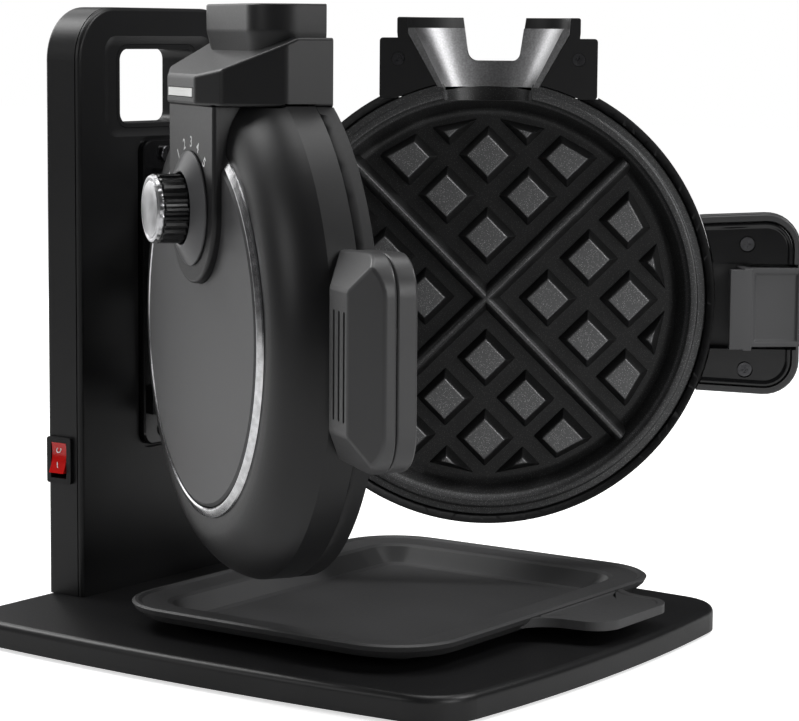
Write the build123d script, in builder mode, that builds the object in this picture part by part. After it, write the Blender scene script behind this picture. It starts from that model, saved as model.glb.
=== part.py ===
"""Vertical waffle maker: a stand with two cooking halves that open like a book.

Millimetres, +Z up. The stand's foot rests on z = 0, the tower stands at +Y,
and the hinge axis is vertical on the centre plane x = 0.
The cooking halves are drawn on the bench: hinge axis at the origin, handle
towards +X, outer side towards -Y. They are turned to their place when shipped.
"""
import math
import os

from build123d import *

os.makedirs("parts", exist_ok=True)

# Stand
BASE_W = 244.0
BASE_FRONT = -134.5
BASE_BACK = 136.0
BASE_H = 12.0
BASE_BOW_SIDE = 6.0
BASE_BOW_FRONT = 8.5
BASE_WALL = 2.6
BASE_FLOOR = 1.0
TOWER_W = 112.0
TOWER_Y0 = 115.0
TOWER_SEAM = 118.2
TOWER_Y1 = 136.0
TOWER_Z0 = 12.05
TOWER_TOP = 282.0
TOWER_R = 24.0
TOWER_WALL = 2.4
GRIP_HOLE_W = 58.0
GRIP_HOLE_Z0 = 227.0
GRIP_HOLE_Z1 = 265.0

# Hinge
HINGE_Y = 92.3
PIN_R = 3.0
PIN_Z0 = 90.0
PIN_Z1 = 211.0
KNUCKLE_R = 7.0
RUN_FIT = 0.06
FRONT_OPEN = 33.8
REAR_OPEN = 30.7

# Cooking halves, bench frame
DC = 134.3
ZC = 149.3
RIM_R = 105.7
SEAM_N = 7.9
BAND_N = 20.0
DOME_N = 38.4
DISC_R = 74.6
DISC_N = 40.9
PLATE_R = 98.3
PLATE_N = 14.0
CAVITY_R = 92.5
CAVITY_FLOOR_R = 86.0
CAVITY_DEPTH = 11.0
MATE = 0.2
SKIN = 2.4

# Dial
DIAL_Z = ZC + 49.8
DIAL_PLANE = 44.4
TONGUE_R = 31.0

SHIFT_X = 5.99
SHIFT_Y = 4.55

FRONT_PLACE = Location((0, HINGE_Y, 0), (0, 0, -90 - FRONT_OPEN))
REAR_PLACE = Location((0, HINGE_Y, 0), (0, 0, -90 + REAR_OPEN))
STAY = Location((0, 0, 0))


def ship(piece, name, place=STAY):
    """Turn a finished piece to its place in the assembly and write it out.

    The shift puts the middle of the whole object's footprint on the origin.
    """
    placed = piece.moved(Location((SHIFT_X, SHIFT_Y, 0)) * place)
    placed.label = name
    export_step(placed, "parts/" + name + ".step")


def outer(n):
    """Bench sketch plane at the distance n outside the mating plane."""
    return Plane.XZ.offset(n)


def base_outline(shrink):
    """Foot outline with bowed sides and front, as a face on z = 0."""
    half = BASE_W / 2 - shrink
    front = BASE_FRONT + shrink
    back = BASE_BACK - shrink
    with BuildSketch() as outline:
        with BuildLine():
            ThreePointArc(
                (-half + BASE_BOW_SIDE, back),
                (-half, 0),
                (-half + BASE_BOW_SIDE, front + BASE_BOW_FRONT),
            )
            ThreePointArc(
                (-half + BASE_BOW_SIDE, front + BASE_BOW_FRONT),
                (0, front),
                (half - BASE_BOW_SIDE, front + BASE_BOW_FRONT),
            )
            ThreePointArc(
                (half - BASE_BOW_SIDE, front + BASE_BOW_FRONT),
                (half, 0),
                (half - BASE_BOW_SIDE, back),
            )
            Line((half - BASE_BOW_SIDE, back), (-half + BASE_BOW_SIDE, back))
        make_face()
        fillet(outline.vertices(), radius=24 - shrink)
    return outline.sketch


# The foot: a moulded cover, closed below and standing on four rubber feet.
FOOT_SPOTS = [(-92, -100), (92, -100), (-92, 108), (92, 108)]
BOLT_SPOTS = [(-40, 126.5), (-14, 126.5), (14, 126.5), (40, 126.5)]
BASE_SCREWS = [(-60, -112), (60, -112), (-108, 10), (108, 10)]

with BuildPart() as base_cover:
    add(base_outline(0))
    extrude(amount=BASE_H - BASE_FLOOR)
    rim = base_cover.faces().sort_by(Axis.Z)[-1].edges()
    fillet(rim, radius=3.2)
    with BuildSketch():
        add(base_outline(BASE_WALL))
    extrude(amount=BASE_H - BASE_FLOOR - BASE_WALL, mode=Mode.SUBTRACT)
    with BuildSketch(Plane.XY.offset(3.0)):
        with GridLocations(48, 0, 4, 1):
            Rectangle(1.6, 200)
        with GridLocations(0, 52, 1, 4):
            Rectangle(200, 1.6)
        with Locations(*BASE_SCREWS):
            Circle(4.2)
    extrude(amount=BASE_H - BASE_FLOOR - 3.0 - 1.0)
    with BuildSketch(Plane.XY.offset(2.0)):
        with Locations(*BASE_SCREWS):
            Circle(1.45)
    extrude(amount=6, mode=Mode.SUBTRACT)
    with BuildSketch():
        with Locations(*BOLT_SPOTS):
            Circle(2.7)
        with Locations((0, 120.5)):
            Rectangle(18, 6)
    extrude(amount=BASE_H, mode=Mode.SUBTRACT)
ship(base_cover.part, "base_cover", Location((0, 0, BASE_FLOOR)))

with BuildPart() as base_bottom:
    add(base_outline(BASE_WALL + 0.3))
    extrude(amount=1.8)
    with BuildSketch(Plane.XY):
        with Locations(*FOOT_SPOTS):
            Circle(10.2)
    extrude(amount=0.8, mode=Mode.SUBTRACT)
    with BuildSketch(Plane.XY):
        with Locations(*BASE_SCREWS):
            Circle(1.8)
        with Locations(*BOLT_SPOTS):
            Circle(6.2)
        with Locations(*FOOT_SPOTS):
            Circle(2.2)
    extrude(amount=1.8, mode=Mode.SUBTRACT)
ship(base_bottom.part, "base_bottom", Location((0, 0, BASE_FLOOR + 0.1)))

with BuildPart() as feet:
    with Locations(*FOOT_SPOTS):
        Cylinder(10, 1.85, align=(Align.CENTER, Align.CENTER, Align.MIN))
        with Locations((0, 0, 1.85)):
            Cylinder(2.1, 1.2, align=(Align.CENTER, Align.CENTER, Align.MIN))
    fillet(feet.faces().group_by(Axis.Z)[0].edges(), radius=0.8)
ship(feet.part, "rubber_feet")

with BuildPart() as base_screws:
    with Locations(*BASE_SCREWS):
        with Locations((0, 0, 0.3)):
            Cylinder(2.9, 0.75, align=(Align.CENTER, Align.CENTER, Align.MIN))
            Cylinder(1.4, 7.0, align=(Align.CENTER, Align.CENTER, Align.MIN))
ship(base_screws.part, "base_screws")


def tower_outline(shrink, low=TOWER_Z0):
    """Tower outline, square below and rounded above, for an upright plane."""
    half = TOWER_W / 2 - shrink
    top = TOWER_TOP - shrink
    with BuildSketch() as outline:
        with Locations((0, (low + top) / 2)):
            Rectangle(2 * half, top - low)
        upper = outline.vertices().sort_by(Axis.Y)[-2:]
        fillet(upper, radius=TOWER_R - shrink)
    return outline.sketch


def slot_face(width, z0, z1, radius):
    """Rounded rectangle for an upright plane, centred on x = 0."""
    with BuildSketch() as slot:
        with Locations((0, (z0 + z1) / 2)):
            RectangleRounded(width, z1 - z0, radius)
    return slot.sketch


# The tower's rear shell is a tray on edge: back wall, side band and the tube
# that lines the carrying handle.
SWITCH_Y = 127.7
SWITCH_Z = 75.0
ROCKER_TILT = 8.0
CASE_SCREWS = [(-44, 32), (44, 32), (-44, 216), (44, 216)]
HINGE_BOLTS = [(0, 84.5), (0, 214.5)]

with BuildPart() as tower_rear:
    with BuildSketch(Plane.XZ.offset(-TOWER_Y1)):
        add(tower_outline(0))
    extrude(amount=TOWER_Y1 - TOWER_SEAM)
    back = tower_rear.faces().sort_by(Axis.Y)[-1].edges()
    fillet(back.filter_by(lambda e: e.center().Z > 20), radius=2.2)
    with BuildSketch(Plane.XZ.offset(-(TOWER_Y1 - TOWER_WALL))):
        add(tower_outline(TOWER_WALL, TOWER_Z0 + 3.0))
    extrude(amount=TOWER_Y1, mode=Mode.SUBTRACT)
    with BuildSketch(Plane.XZ.offset(-TOWER_Y1 + 0.5)):
        add(slot_face(GRIP_HOLE_W, GRIP_HOLE_Z0, GRIP_HOLE_Z1, 7))
    extrude(amount=TOWER_Y1 - 0.5 - 116.2)
    with BuildSketch(Plane.XZ.offset(-TOWER_Y1)):
        add(slot_face(GRIP_HOLE_W - 4, GRIP_HOLE_Z0 + 2, GRIP_HOLE_Z1 - 2, 5))
    extrude(amount=40, mode=Mode.SUBTRACT)
    with BuildSketch(Plane.XZ.offset(-TOWER_Y1 + 1)):
        with Locations(*CASE_SCREWS):
            Circle(4.0)
    extrude(amount=14.4)
    with BuildSketch(Plane.XZ.offset(-TOWER_Y1)):
        with Locations(*CASE_SCREWS):
            Circle(1.9)
    extrude(amount=20, mode=Mode.SUBTRACT)
    with BuildSketch(Plane.XZ.offset(-TOWER_Y1)):
        with Locations(*CASE_SCREWS):
            Circle(3.4)
    extrude(amount=3, mode=Mode.SUBTRACT)
    with BuildSketch(Plane.YZ.offset(-TOWER_W / 2 - 1)):
        with Locations((SWITCH_Y, SWITCH_Z)):
            Rectangle(11.6, 18.8)
    extrude(amount=6, mode=Mode.SUBTRACT)
    with BuildSketch(Plane.XZ.offset(-TOWER_Y1)):
        with Locations((30, 26)):
            Circle(5.05)
    extrude(amount=4, mode=Mode.SUBTRACT)
    with BuildSketch(Plane.XY.offset(TOWER_Z0)):
        with Locations(*BOLT_SPOTS):
            Circle(2.2)
        with Locations((0, 122.2)):
            Rectangle(16, 6)
    extrude(amount=5, mode=Mode.SUBTRACT)
ship(tower_rear.part, "tower_rear_shell")

with BuildPart() as tower_front:
    with BuildSketch(Plane.XZ.offset(-TOWER_SEAM + 0.6)):
        add(tower_outline(0))
    extrude(amount=TOWER_SEAM - 0.6 - TOWER_Y0)
    face_edges = tower_front.faces().sort_by(Axis.Y)[0].edges()
    fillet(face_edges.filter_by(lambda e: e.center().Z > 20), radius=1.8)
    with BuildSketch(Plane.XZ.offset(-TOWER_SEAM - 1.6)):
        add(tower_outline(TOWER_WALL + 0.25, TOWER_Z0 + 3.4))
        add(tower_outline(TOWER_WALL + 1.85, TOWER_Z0 + 5.0), mode=Mode.SUBTRACT)
    extrude(amount=2.6)
    with BuildSketch(Plane.XZ.offset(-TOWER_SEAM + 0.6)):
        with Locations(*CASE_SCREWS):
            Circle(3.4)
    extrude(amount=-2.6)
    with BuildSketch(Plane.XZ.offset(-TOWER_SEAM - 4)):
        with Locations(*CASE_SCREWS):
            Circle(1.25)
    extrude(amount=5.5, mode=Mode.SUBTRACT)
    with BuildSketch(Plane.XZ.offset(-TOWER_SEAM - 4)):
        add(slot_face(GRIP_HOLE_W + 0.5, GRIP_HOLE_Z0 - 0.25, GRIP_HOLE_Z1 + 0.25, 7.2))
    extrude(amount=20, mode=Mode.SUBTRACT)
    with BuildSketch(Plane.XZ.offset(-TOWER_Y0 - 1.4)):
        add(slot_face(29.6, 77.7, 221.3, 6.3))
    extrude(amount=3, mode=Mode.SUBTRACT)
    with BuildSketch(Plane.XZ.offset(-TOWER_SEAM - 4)):
        with Locations(*HINGE_BOLTS):
            Circle(2.2)
        with Locations((0, 98)):
            Circle(3.6)
    extrude(amount=12, mode=Mode.SUBTRACT)
    with BuildSketch(Plane.XZ.offset(-TOWER_SEAM - 1.6)):
        with Locations((-26, 150), (26, 150)):
            Rectangle(1.6, 120)
        with Locations((0, 60)):
            Rectangle(90, 1.6)
    extrude(amount=2.4)
ship(tower_front.part, "tower_front_shell")

with BuildPart() as case_screws:
    with BuildSketch(Plane.XZ.offset(-TOWER_Y1 + 1.0)):
        with Locations(*CASE_SCREWS):
            Circle(3.1)
    extrude(amount=1.9)
    with BuildSketch(Plane.XZ.offset(-TOWER_Y1 + 1.4)):
        with Locations(*CASE_SCREWS):
            Circle(1.2)
    extrude(amount=16.0)
    with BuildSketch(Plane.XZ.offset(-TOWER_Y1 + 0.6)):
        with Locations(*CASE_SCREWS):
            Rectangle(3.6, 0.8)
            Rectangle(0.8, 3.6)
    extrude(amount=1.4, mode=Mode.SUBTRACT)
ship(case_screws.part, "tower_case_screws")

with BuildPart() as tower_bolts:
    with Locations(*BOLT_SPOTS):
        with Locations((0, 0, 6.4)):
            Cylinder(4.4, 2.6, align=(Align.CENTER, Align.CENTER, Align.MIN))
        with Locations((0, 0, 6.4)):
            Cylinder(2.0, 13.0, align=(Align.CENTER, Align.CENTER, Align.MIN))
        with Locations((0, 0, 15.15)):
            Cylinder(3.9, 3.2, align=(Align.CENTER, Align.CENTER, Align.MIN))
ship(tower_bolts.part, "tower_bolts")

with BuildPart() as tower_frame:
    with BuildSketch(Plane.XZ.offset(-128.2)):
        with Locations((0, 150)):
            Rectangle(34, 150)
        with Locations((0, 214.5), (0, 84.5)):
            Circle(2.25, mode=Mode.SUBTRACT)
        with Locations((0, 98)):
            Circle(4.0, mode=Mode.SUBTRACT)
        with Locations((0, 150)):
            RectangleRounded(14, 70, 5, mode=Mode.SUBTRACT)
    extrude(amount=2.0)
    with BuildSketch(Plane.XY.offset(75)):
        with Locations((-17.8, 124.3), (17.8, 124.3)):
            Rectangle(1.6, 7.8)
    extrude(amount=150)
ship(tower_frame.part, "hinge_backing_plate")

with BuildPart() as cord_gland:
    with BuildSketch(Plane.XZ.offset(-TOWER_Y1 - 1.6)):
        with Locations((30, 26)):
            Circle(7.2)
    extrude(amount=1.5)
    with BuildSketch(Plane.XZ.offset(-TOWER_Y1 - 0.5)):
        with Locations((30, 26)):
            Circle(4.9)
    extrude(amount=7.0)
    with BuildSketch(Plane.XZ.offset(-TOWER_Y1 - 1.7)):
        with Locations((30, 26)):
            Circle(3.3)
    extrude(amount=9, mode=Mode.SUBTRACT)
ship(cord_gland.part, "cord_inlet_gland")

with BuildPart() as terminals:
    with Locations((22, 127.6, 52)):
        Box(30, 9, 12)
        with GridLocations(9, 0, 3, 1):
            Cylinder(2.4, 7, rotation=(90, 0, 0), mode=Mode.SUBTRACT)
    fillet(terminals.edges().filter_by(Axis.Y).group_by(Axis.Z)[-1], radius=1.0)
ship(terminals.part, "terminal_block")

with BuildPart() as wiring:
    with BuildLine() as run_a:
        Spline((30, 126.4, 24), (33, 126.6, 34), (31, 127.4, 45.8), tangents=((0, 0, 1), (0, 0, 1)))
    with BuildSketch(Plane(origin=run_a.line @ 0, z_dir=run_a.line % 0)):
        Circle(2.6)
    sweep(path=run_a.line)
    with BuildLine() as run_b:
        Spline((13, 126, 58.3), (9.6, 122.4, 71), (7.6, 121.7, 97), tangents=((0, 0, 1), (0, 0, 1)))
    with BuildSketch(Plane(origin=run_b.line @ 0, z_dir=run_b.line % 0)):
        Circle(2.2)
    sweep(path=run_b.line)
    with BuildLine() as run_c:
        Spline((14, 127, 45.7), (-12, 127.4, 44), (-31.5, 127.6, 70), tangents=((0, 0, -1), (-1, 0, 0)))
    with BuildSketch(Plane(origin=run_c.line @ 0, z_dir=run_c.line % 0)):
        Circle(1.8)
    sweep(path=run_c.line)
ship(wiring.part, "stand_wiring")

# Power switch: a body snapped into the side band, with its own rocker.
with BuildPart() as switch_body:
    with BuildSketch(Plane.YZ.offset(-TOWER_W / 2 - 1.9)):
        with Locations((SWITCH_Y, SWITCH_Z)):
            RectangleRounded(14.4, 21.4, 1.2)
    extrude(amount=1.85)
    with BuildSketch(Plane.YZ.offset(-TOWER_W / 2 - 0.1)):
        with Locations((SWITCH_Y, SWITCH_Z)):
            Rectangle(11.4, 18.6)
    extrude(amount=17.0)
    with BuildSketch(Plane.YZ.offset(-TOWER_W / 2 - 2)):
        with Locations((SWITCH_Y, SWITCH_Z)):
            Rectangle(9.4, 16.6)
    extrude(amount=11.0, mode=Mode.SUBTRACT)
    with BuildSketch(Plane.XZ.offset(-SWITCH_Y - 6)):
        with Locations((-50.0, SWITCH_Z)):
            Circle(1.06)
    extrude(amount=12, mode=Mode.SUBTRACT)
    with BuildSketch(Plane.YZ.offset(-TOWER_W / 2 + 16.5)):
        with Locations((SWITCH_Y, SWITCH_Z + 5), (SWITCH_Y, SWITCH_Z - 5)):
            Rectangle(4.8, 0.8)
    extrude(amount=7.5)
ship(switch_body.part, "switch_body")

with BuildPart() as rocker:
    with BuildSketch(Plane.XZ.offset(-SWITCH_Y - 4.3)):
        with BuildLine():
            Polyline(
                (-58.9, SWITCH_Z - 7.0),
                (-50.5, SWITCH_Z - 6.0),
                (-48.2, SWITCH_Z),
                (-50.5, SWITCH_Z + 6.0),
                (-58.9, SWITCH_Z + 7.0),
            )
            ThreePointArc(
                (-58.9, SWITCH_Z + 7.0),
                (-57.6, SWITCH_Z),
                (-58.9, SWITCH_Z - 7.0),
            )
        make_face()
    extrude(amount=8.6)
    with BuildSketch(Plane.XZ.offset(-SWITCH_Y - 5.6)):
        with Locations((-50.0, SWITCH_Z)):
            Circle(1.0)
    extrude(amount=11.2)
rocker_axis = Axis((-50.0, SWITCH_Y, SWITCH_Z), (0, 1, 0))
ship(rocker.part.rotate(rocker_axis, ROCKER_TILT), "power_rocker")

# Hinge: plate on the tower, fixed knuckles, pin, and the arms of the halves.
STAND_KNUCKLES = [(92.0, 103.6), (144.2, 155.8), (196.4, 208.0)]
FRONT_KNUCKLES = [(104.2, 121.8), (178.4, 195.8)]
REAR_KNUCKLES = [(122.4, 143.6), (156.4, 177.8)]

with BuildPart() as hinge_plate:
    with BuildSketch(Plane.XZ.offset(-TOWER_Y0 - 1.3)):
        with Locations((0, 149.5)):
            RectangleRounded(29, 143, 6)
    extrude(amount=3.9)
    plate_front = hinge_plate.faces().sort_by(Axis.Y)[0].edges()
    chamfer(plate_front, length=0.7)
    for low, high in STAND_KNUCKLES:
        with BuildSketch(Plane.XY.offset(low)):
            with Locations((0, HINGE_Y)):
                Circle(KNUCKLE_R)
            with BuildLine():
                Polyline((-5.4, HINGE_Y + 3), (-9, 113.2), (9, 113.2), (5.4, HINGE_Y + 3), (-5.4, HINGE_Y + 3))
            make_face()
        extrude(amount=high - low)
    with Locations((0, HINGE_Y, 149.5)):
        Cylinder(PIN_R + 0.01, 140, mode=Mode.SUBTRACT)
    with BuildSketch(Plane.XZ.offset(-TOWER_Y0 - 2)):
        with Locations(*HINGE_BOLTS):
            Circle(2.2)
    extrude(amount=8, mode=Mode.SUBTRACT)
    with BuildSketch(Plane.XZ.offset(-TOWER_Y0 - 2)):
        with Locations((0, 117)):
            Circle(3.4)
    extrude(amount=8, mode=Mode.SUBTRACT)
ship(hinge_plate.part, "hinge_plate")

with BuildPart() as hinge_bolts:
    with BuildSketch(Plane.XZ.offset(-TOWER_Y0 + 2.7)):
        with Locations(*HINGE_BOLTS):
            Circle(3.9)
    extrude(amount=2.0)
    heads = hinge_bolts.faces().sort_by(Axis.Y)[:2]
    fillet(heads.edges(), radius=0.7)
    with BuildSketch(Plane.XZ.offset(-TOWER_Y0 + 4.2)):
        with Locations(*HINGE_BOLTS):
            Rectangle(4.2, 0.9)
            Rectangle(0.9, 4.2)
    extrude(amount=0.9, mode=Mode.SUBTRACT)
    with BuildSketch(Plane.XZ.offset(-TOWER_Y0 + 2.8)):
        with Locations(*HINGE_BOLTS):
            Circle(2.0)
    extrude(amount=-18.8)
    with BuildSketch(Plane.XZ.offset(-128.3)):
        with Locations(*HINGE_BOLTS):
            RegularPolygon(3.9, 6)
    extrude(amount=-2.6)
ship(hinge_bolts.part, "hinge_plate_bolts")

with BuildPart() as hinge_pin:
    with Locations((0, HINGE_Y, PIN_Z0)):
        Cylinder(PIN_R, PIN_Z1 - PIN_Z0, align=(Align.CENTER, Align.CENTER, Align.MIN))
    with Locations((0, HINGE_Y, 208.3)):
        Cylinder(5.2, 2.7, align=(Align.CENTER, Align.CENTER, Align.MIN))
    fillet(hinge_pin.faces().sort_by(Axis.Z)[-1].edges(), radius=1.2)
    fillet(hinge_pin.faces().sort_by(Axis.Z)[0].edges(), radius=0.6)
ship(hinge_pin.part, "hinge_pin")

ARM_SCREWS = [(36.8, ZC - 23), (36.8, ZC + 23)]
ARM_SHAPE = [(0, -7), (9, -17.2), (46, -17.2), (46, -10), (17, -10), (6.9, -0.6), (0, 0)]


def hinge_arm(levels, low, high):
    """Arm with knuckles round the pin, a web to the half and a fixing pad."""
    with BuildPart() as arm:
        for base_z, top_z in levels:
            with BuildSketch(Plane.XY.offset(base_z)):
                with BuildLine():
                    Polyline(*ARM_SHAPE, ARM_SHAPE[0])
                make_face()
                Circle(KNUCKLE_R)
            extrude(amount=top_z - base_z)
        with BuildSketch(Plane.XY.offset(low)):
            with BuildLine():
                Polyline((36, -17.2), (46, -17.2), (46, -10), (36, -10), (36, -17.2))
            make_face()
        extrude(amount=high - low)
        with Locations((0, 0, 149.5)):
            Cylinder(PIN_R + RUN_FIT, 140, mode=Mode.SUBTRACT)
        with BuildSketch(Plane.XZ.offset(20)):
            with Locations(*ARM_SCREWS):
                Circle(1.7)
        extrude(amount=-14, mode=Mode.SUBTRACT)
    return arm.part


ship(hinge_arm(FRONT_KNUCKLES, 104.2, 195.8), "front_hinge_arm", FRONT_PLACE)
rear_arm_bench = hinge_arm(REAR_KNUCKLES, 122.4, 177.8)
ship(rear_arm_bench.mirror(Plane.XZ), "rear_hinge_arm", REAR_PLACE)


def arm_screws():
    """Two screws that fix the hinge arm to the frame ring."""
    with BuildPart() as screws:
        with BuildSketch(outer(17.25)):
            with Locations(*ARM_SCREWS):
                Circle(3.1)
        extrude(amount=1.9)
        with BuildSketch(outer(2.2)):
            with Locations(*ARM_SCREWS):
                Circle(1.15)
        extrude(amount=16)
    return screws.part


ship(arm_screws(), "front_arm_screws", FRONT_PLACE)
ship(arm_screws().mirror(Plane.XZ), "rear_arm_screws", REAR_PLACE)


# Cooking half pieces that both sides share.
def disc_at(radius, n0, n1):
    """Bench cylinder about the half's centre between two distances."""
    with BuildPart() as drum:
        with BuildSketch(outer(n0)):
            with Locations((DC, ZC)):
                Circle(radius)
        extrude(amount=n1 - n0)
    return drum.part


def turned(points):
    """Closed profile of (radius, n) points, turned about the half's axis."""
    with BuildPart() as solid:
        with BuildSketch(Plane(origin=(DC, 0, ZC), x_dir=(1, 0, 0), z_dir=(0, 0, 1))):
            with BuildLine():
                Polyline(*[(r, -n) for r, n in points], close=True)
            make_face()
        revolve(axis=Axis((DC, 0, ZC), (0, -1, 0)))
    return solid.part


def dome_profile(wall):
    """Cover section: straight band, rounded dome and the seat for the disc."""
    top = RIM_R - wall
    with BuildSketch(Plane(origin=(DC, 0, ZC), x_dir=(1, 0, 0), z_dir=(0, 0, 1))) as profile:
        with BuildLine():
            Line((0, -SEAM_N), (top, -SEAM_N))
            Line((top, -SEAM_N), (top, -BAND_N))
            ThreePointArc((top, -BAND_N), (97.8 - wall * 0.8, -32.4 + wall * 0.7), (77.2, -DOME_N + wall))
            Line((77.2, -DOME_N + wall), (0, -DOME_N + wall))
            Line((0, -DOME_N + wall), (0, -SEAM_N))
        make_face()
    return profile.sketch


HALF_AXIS = Axis((DC, 0, ZC), (0, -1, 0))
SQUARES = [(1, 1), (1, 2), (2, 1), (2, 2), (1, 3), (3, 1)]
SQUARE_AT = {1: 20.0, 2: 46.4, 3: 70.4}
POSTS = [(DC + 70 * math.cos(math.radians(a)), ZC + 70 * math.sin(math.radians(a))) for a in (25, 155, 205, 335)]
ARM_SLOT = (28.0, 35.0)


def cover(arm_low, arm_high):
    """Domed cover with the openings for collar, hinge arm and dial."""
    with BuildPart() as shell:
        add(dome_profile(0))
        revolve(axis=HALF_AXIS)
        add(dome_profile(SKIN))
        revolve(axis=HALF_AXIS, mode=Mode.SUBTRACT)
        with BuildSketch(outer(30)):
            with Locations((DC, ZC)):
                Circle(76.0)
        extrude(amount=12, mode=Mode.SUBTRACT)
        with BuildSketch(outer(0)):
            with Locations((DC, ZC + 112.1)):
                Rectangle(101, 40)
        extrude(amount=60, mode=Mode.SUBTRACT)
        with BuildSketch(outer(9.7)):
            with Locations((36, (arm_low + arm_high) / 2)):
                Rectangle(24, arm_high - arm_low + 0.6)
        extrude(amount=7.8, mode=Mode.SUBTRACT)
    return shell.part


def frame_ring():
    """Plastic ring behind the seam: outer band, ledge and screw lugs."""
    ring = turned(
        [
            (98.7, MATE),
            (105.4, MATE),
            (105.5, 7.6),
            (102.9, 7.6),
            (102.9, 10.4),
            (101.0, 10.4),
            (101.0, 18.0),
            (91.5, 18.0),
            (91.5, 15.6),
            (98.7, 15.6),
        ]
    )
    with BuildPart() as frame:
        add(ring)
        with BuildSketch(outer(0)):
            with Locations((DC, ZC + 112.2)):
                Rectangle(101.2, 40)
        extrude(amount=60, mode=Mode.SUBTRACT)
        with BuildSketch(outer(0)):
            with Locations((35, ZC)):
                Rectangle(23, 96)
        extrude(amount=60, mode=Mode.SUBTRACT)
        with BuildSketch(outer(MATE)):
            with Locations((DC - 97.6, ZC)):
                Rectangle(9.6, 97)
        extrude(amount=9.5)
        add(disc_at(PLATE_R + 0.35, -1, 15.6), mode=Mode.SUBTRACT)
        outside = disc_at(130, -1, 30) - disc_at(105.5, -2, 31)
        add(outside, mode=Mode.SUBTRACT)
        above_seam = disc_at(130, 7.6, 30) - disc_at(102.9, 7, 31)
        add(above_seam, mode=Mode.SUBTRACT)
        with BuildSketch(outer(MATE)):
            with Locations(*ARM_SCREWS):
                Circle(1.2)
        extrude(amount=12, mode=Mode.SUBTRACT)
    return frame.part


def waffle_plate():
    """Die-cast plate: raised rings, round cavity, cross walls and pyramids."""
    with BuildPart() as plate:
        add(
            turned(
                [
                    (0, CAVITY_DEPTH),
                    (CAVITY_FLOOR_R, CAVITY_DEPTH),
                    (CAVITY_R, 1.6),
                    (93.4, 1.2),
                    (94.4, 1.2),
                    (95.2, MATE),
                    (97.4, MATE),
                    (PLATE_R, 1.0),
                    (PLATE_R, PLATE_N),
                    (0, PLATE_N),
                ]
            )
        )
        for turn in (45, 135):
            with BuildSketch(outer(CAVITY_DEPTH + 0.2)):
                with Locations(Location((DC, ZC), turn)):
                    Rectangle(180, 8.6)
            extrude(amount=-9.6, taper=12)
        for quarter in range(4):
            base_angle = 45 + 90 * quarter
            with BuildSketch(outer(CAVITY_DEPTH + 0.1)):
                for i, j in SQUARES:
                    a = SQUARE_AT[i]
                    b = SQUARE_AT[j]
                    c = math.cos(math.radians(base_angle))
                    s = math.sin(math.radians(base_angle))
                    spot = (DC + a * c - b * s, ZC + a * s + b * c)
                    with Locations(Location(spot, base_angle)):
                        Rectangle(19.4, 19.4)
            extrude(amount=-8.0, taper=20)
        with BuildSketch(outer(PLATE_N - 0.5)):
            with Locations((DC, ZC)):
                Circle(68)
                Circle(56, mode=Mode.SUBTRACT)
        extrude(amount=4.5)
        with BuildSketch(outer(PLATE_N - 0.5)):
            with Locations(*POSTS):
                Circle(4.2)
        extrude(amount=12.3)
        with BuildSketch(outer(PLATE_N + 1)):
            with Locations(*POSTS):
                Circle(1.3)
        extrude(amount=12, mode=Mode.SUBTRACT)
        with BuildSketch(Plane(origin=(DC, 0, ZC), x_dir=(1, 0, 0), z_dir=(0, 0, 1))):
            with Locations((62, -18.4)):
                Circle(3.5)
        revolve(axis=HALF_AXIS, mode=Mode.SUBTRACT)
        outside = disc_at(130, -1, 13) - disc_at(CAVITY_R + 1.5, -2, 13.5)
        keep = disc_at(PLATE_R, -1, 13)
        clip = outside - keep
        add(clip, mode=Mode.SUBTRACT)
        with BuildSketch(outer(9.4)):
            with Locations((37.5, ZC)):
                Rectangle(20, 97)
        extrude(amount=6, mode=Mode.SUBTRACT)
        with BuildSketch(Plane(origin=(DC, 0, ZC + 78), z_dir=(0, 0, 1))):
            Circle(17.5)
        extrude(amount=25, taper=-8, mode=Mode.SUBTRACT)
    return plate.part


def funnel(notched):
    """Half of the pouring funnel, cast in aluminium."""
    with BuildPart() as spout:
        with BuildSketch(Plane(origin=(DC, 0, 0), x_dir=(1, 0, 0), z_dir=(0, -1, 0))):
            with BuildLine():
                Polyline(
                    (20.3, ZC + 99.0),
                    (22.9, ZC + 99.0),
                    (36.4, ZC + 122.0),
                    (36.4, ZC + 124.6),
                    (34.4, ZC + 124.6),
                    (20.3, ZC + 100.4),
                    close=True,
                )
            make_face()
        revolve(axis=Axis((DC, 0, 0), (0, 0, 1)), revolution_arc=360)
        with Locations((DC, 50 - MATE, ZC + 110)):
            Box(200, 100, 60, mode=Mode.SUBTRACT)
        if notched:
            with BuildSketch(outer(5)):
                with BuildLine():
                    Polyline(
                        (DC - 9, ZC + 110),
                        (DC + 12, ZC + 110),
                        (DC + 15, ZC + 130),
                        (DC - 12, ZC + 130),
                        close=True,
                    )
                make_face()
            extrude(amount=60, mode=Mode.SUBTRACT)
    return spout.part


def element():
    """Tubular heater bent to a ring with two turned-up ends."""
    with BuildPart() as heater:
        with BuildLine(Plane(origin=(DC, -18.4, ZC), x_dir=(1, 0, 0), z_dir=(0, -1, 0))) as path:
            CenterArc((0, 0), 62, 290, 320)
        with BuildSketch(Plane(origin=path.line @ 0, z_dir=path.line % 0)):
            Circle(3.2)
        sweep(path=path.line)
        ends = [(DC + 62 * math.cos(math.radians(a)), ZC + 62 * math.sin(math.radians(a))) for a in (292.5, 247.5)]
        with BuildSketch(outer(18.4)):
            with Locations(*ends):
                Circle(2.2)
        extrude(amount=10.5)
        with BuildSketch(outer(28.8)):
            with Locations(*ends):
                Rectangle(0.8, 4.8)
        extrude(amount=4.0)
    return heater.part


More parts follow.
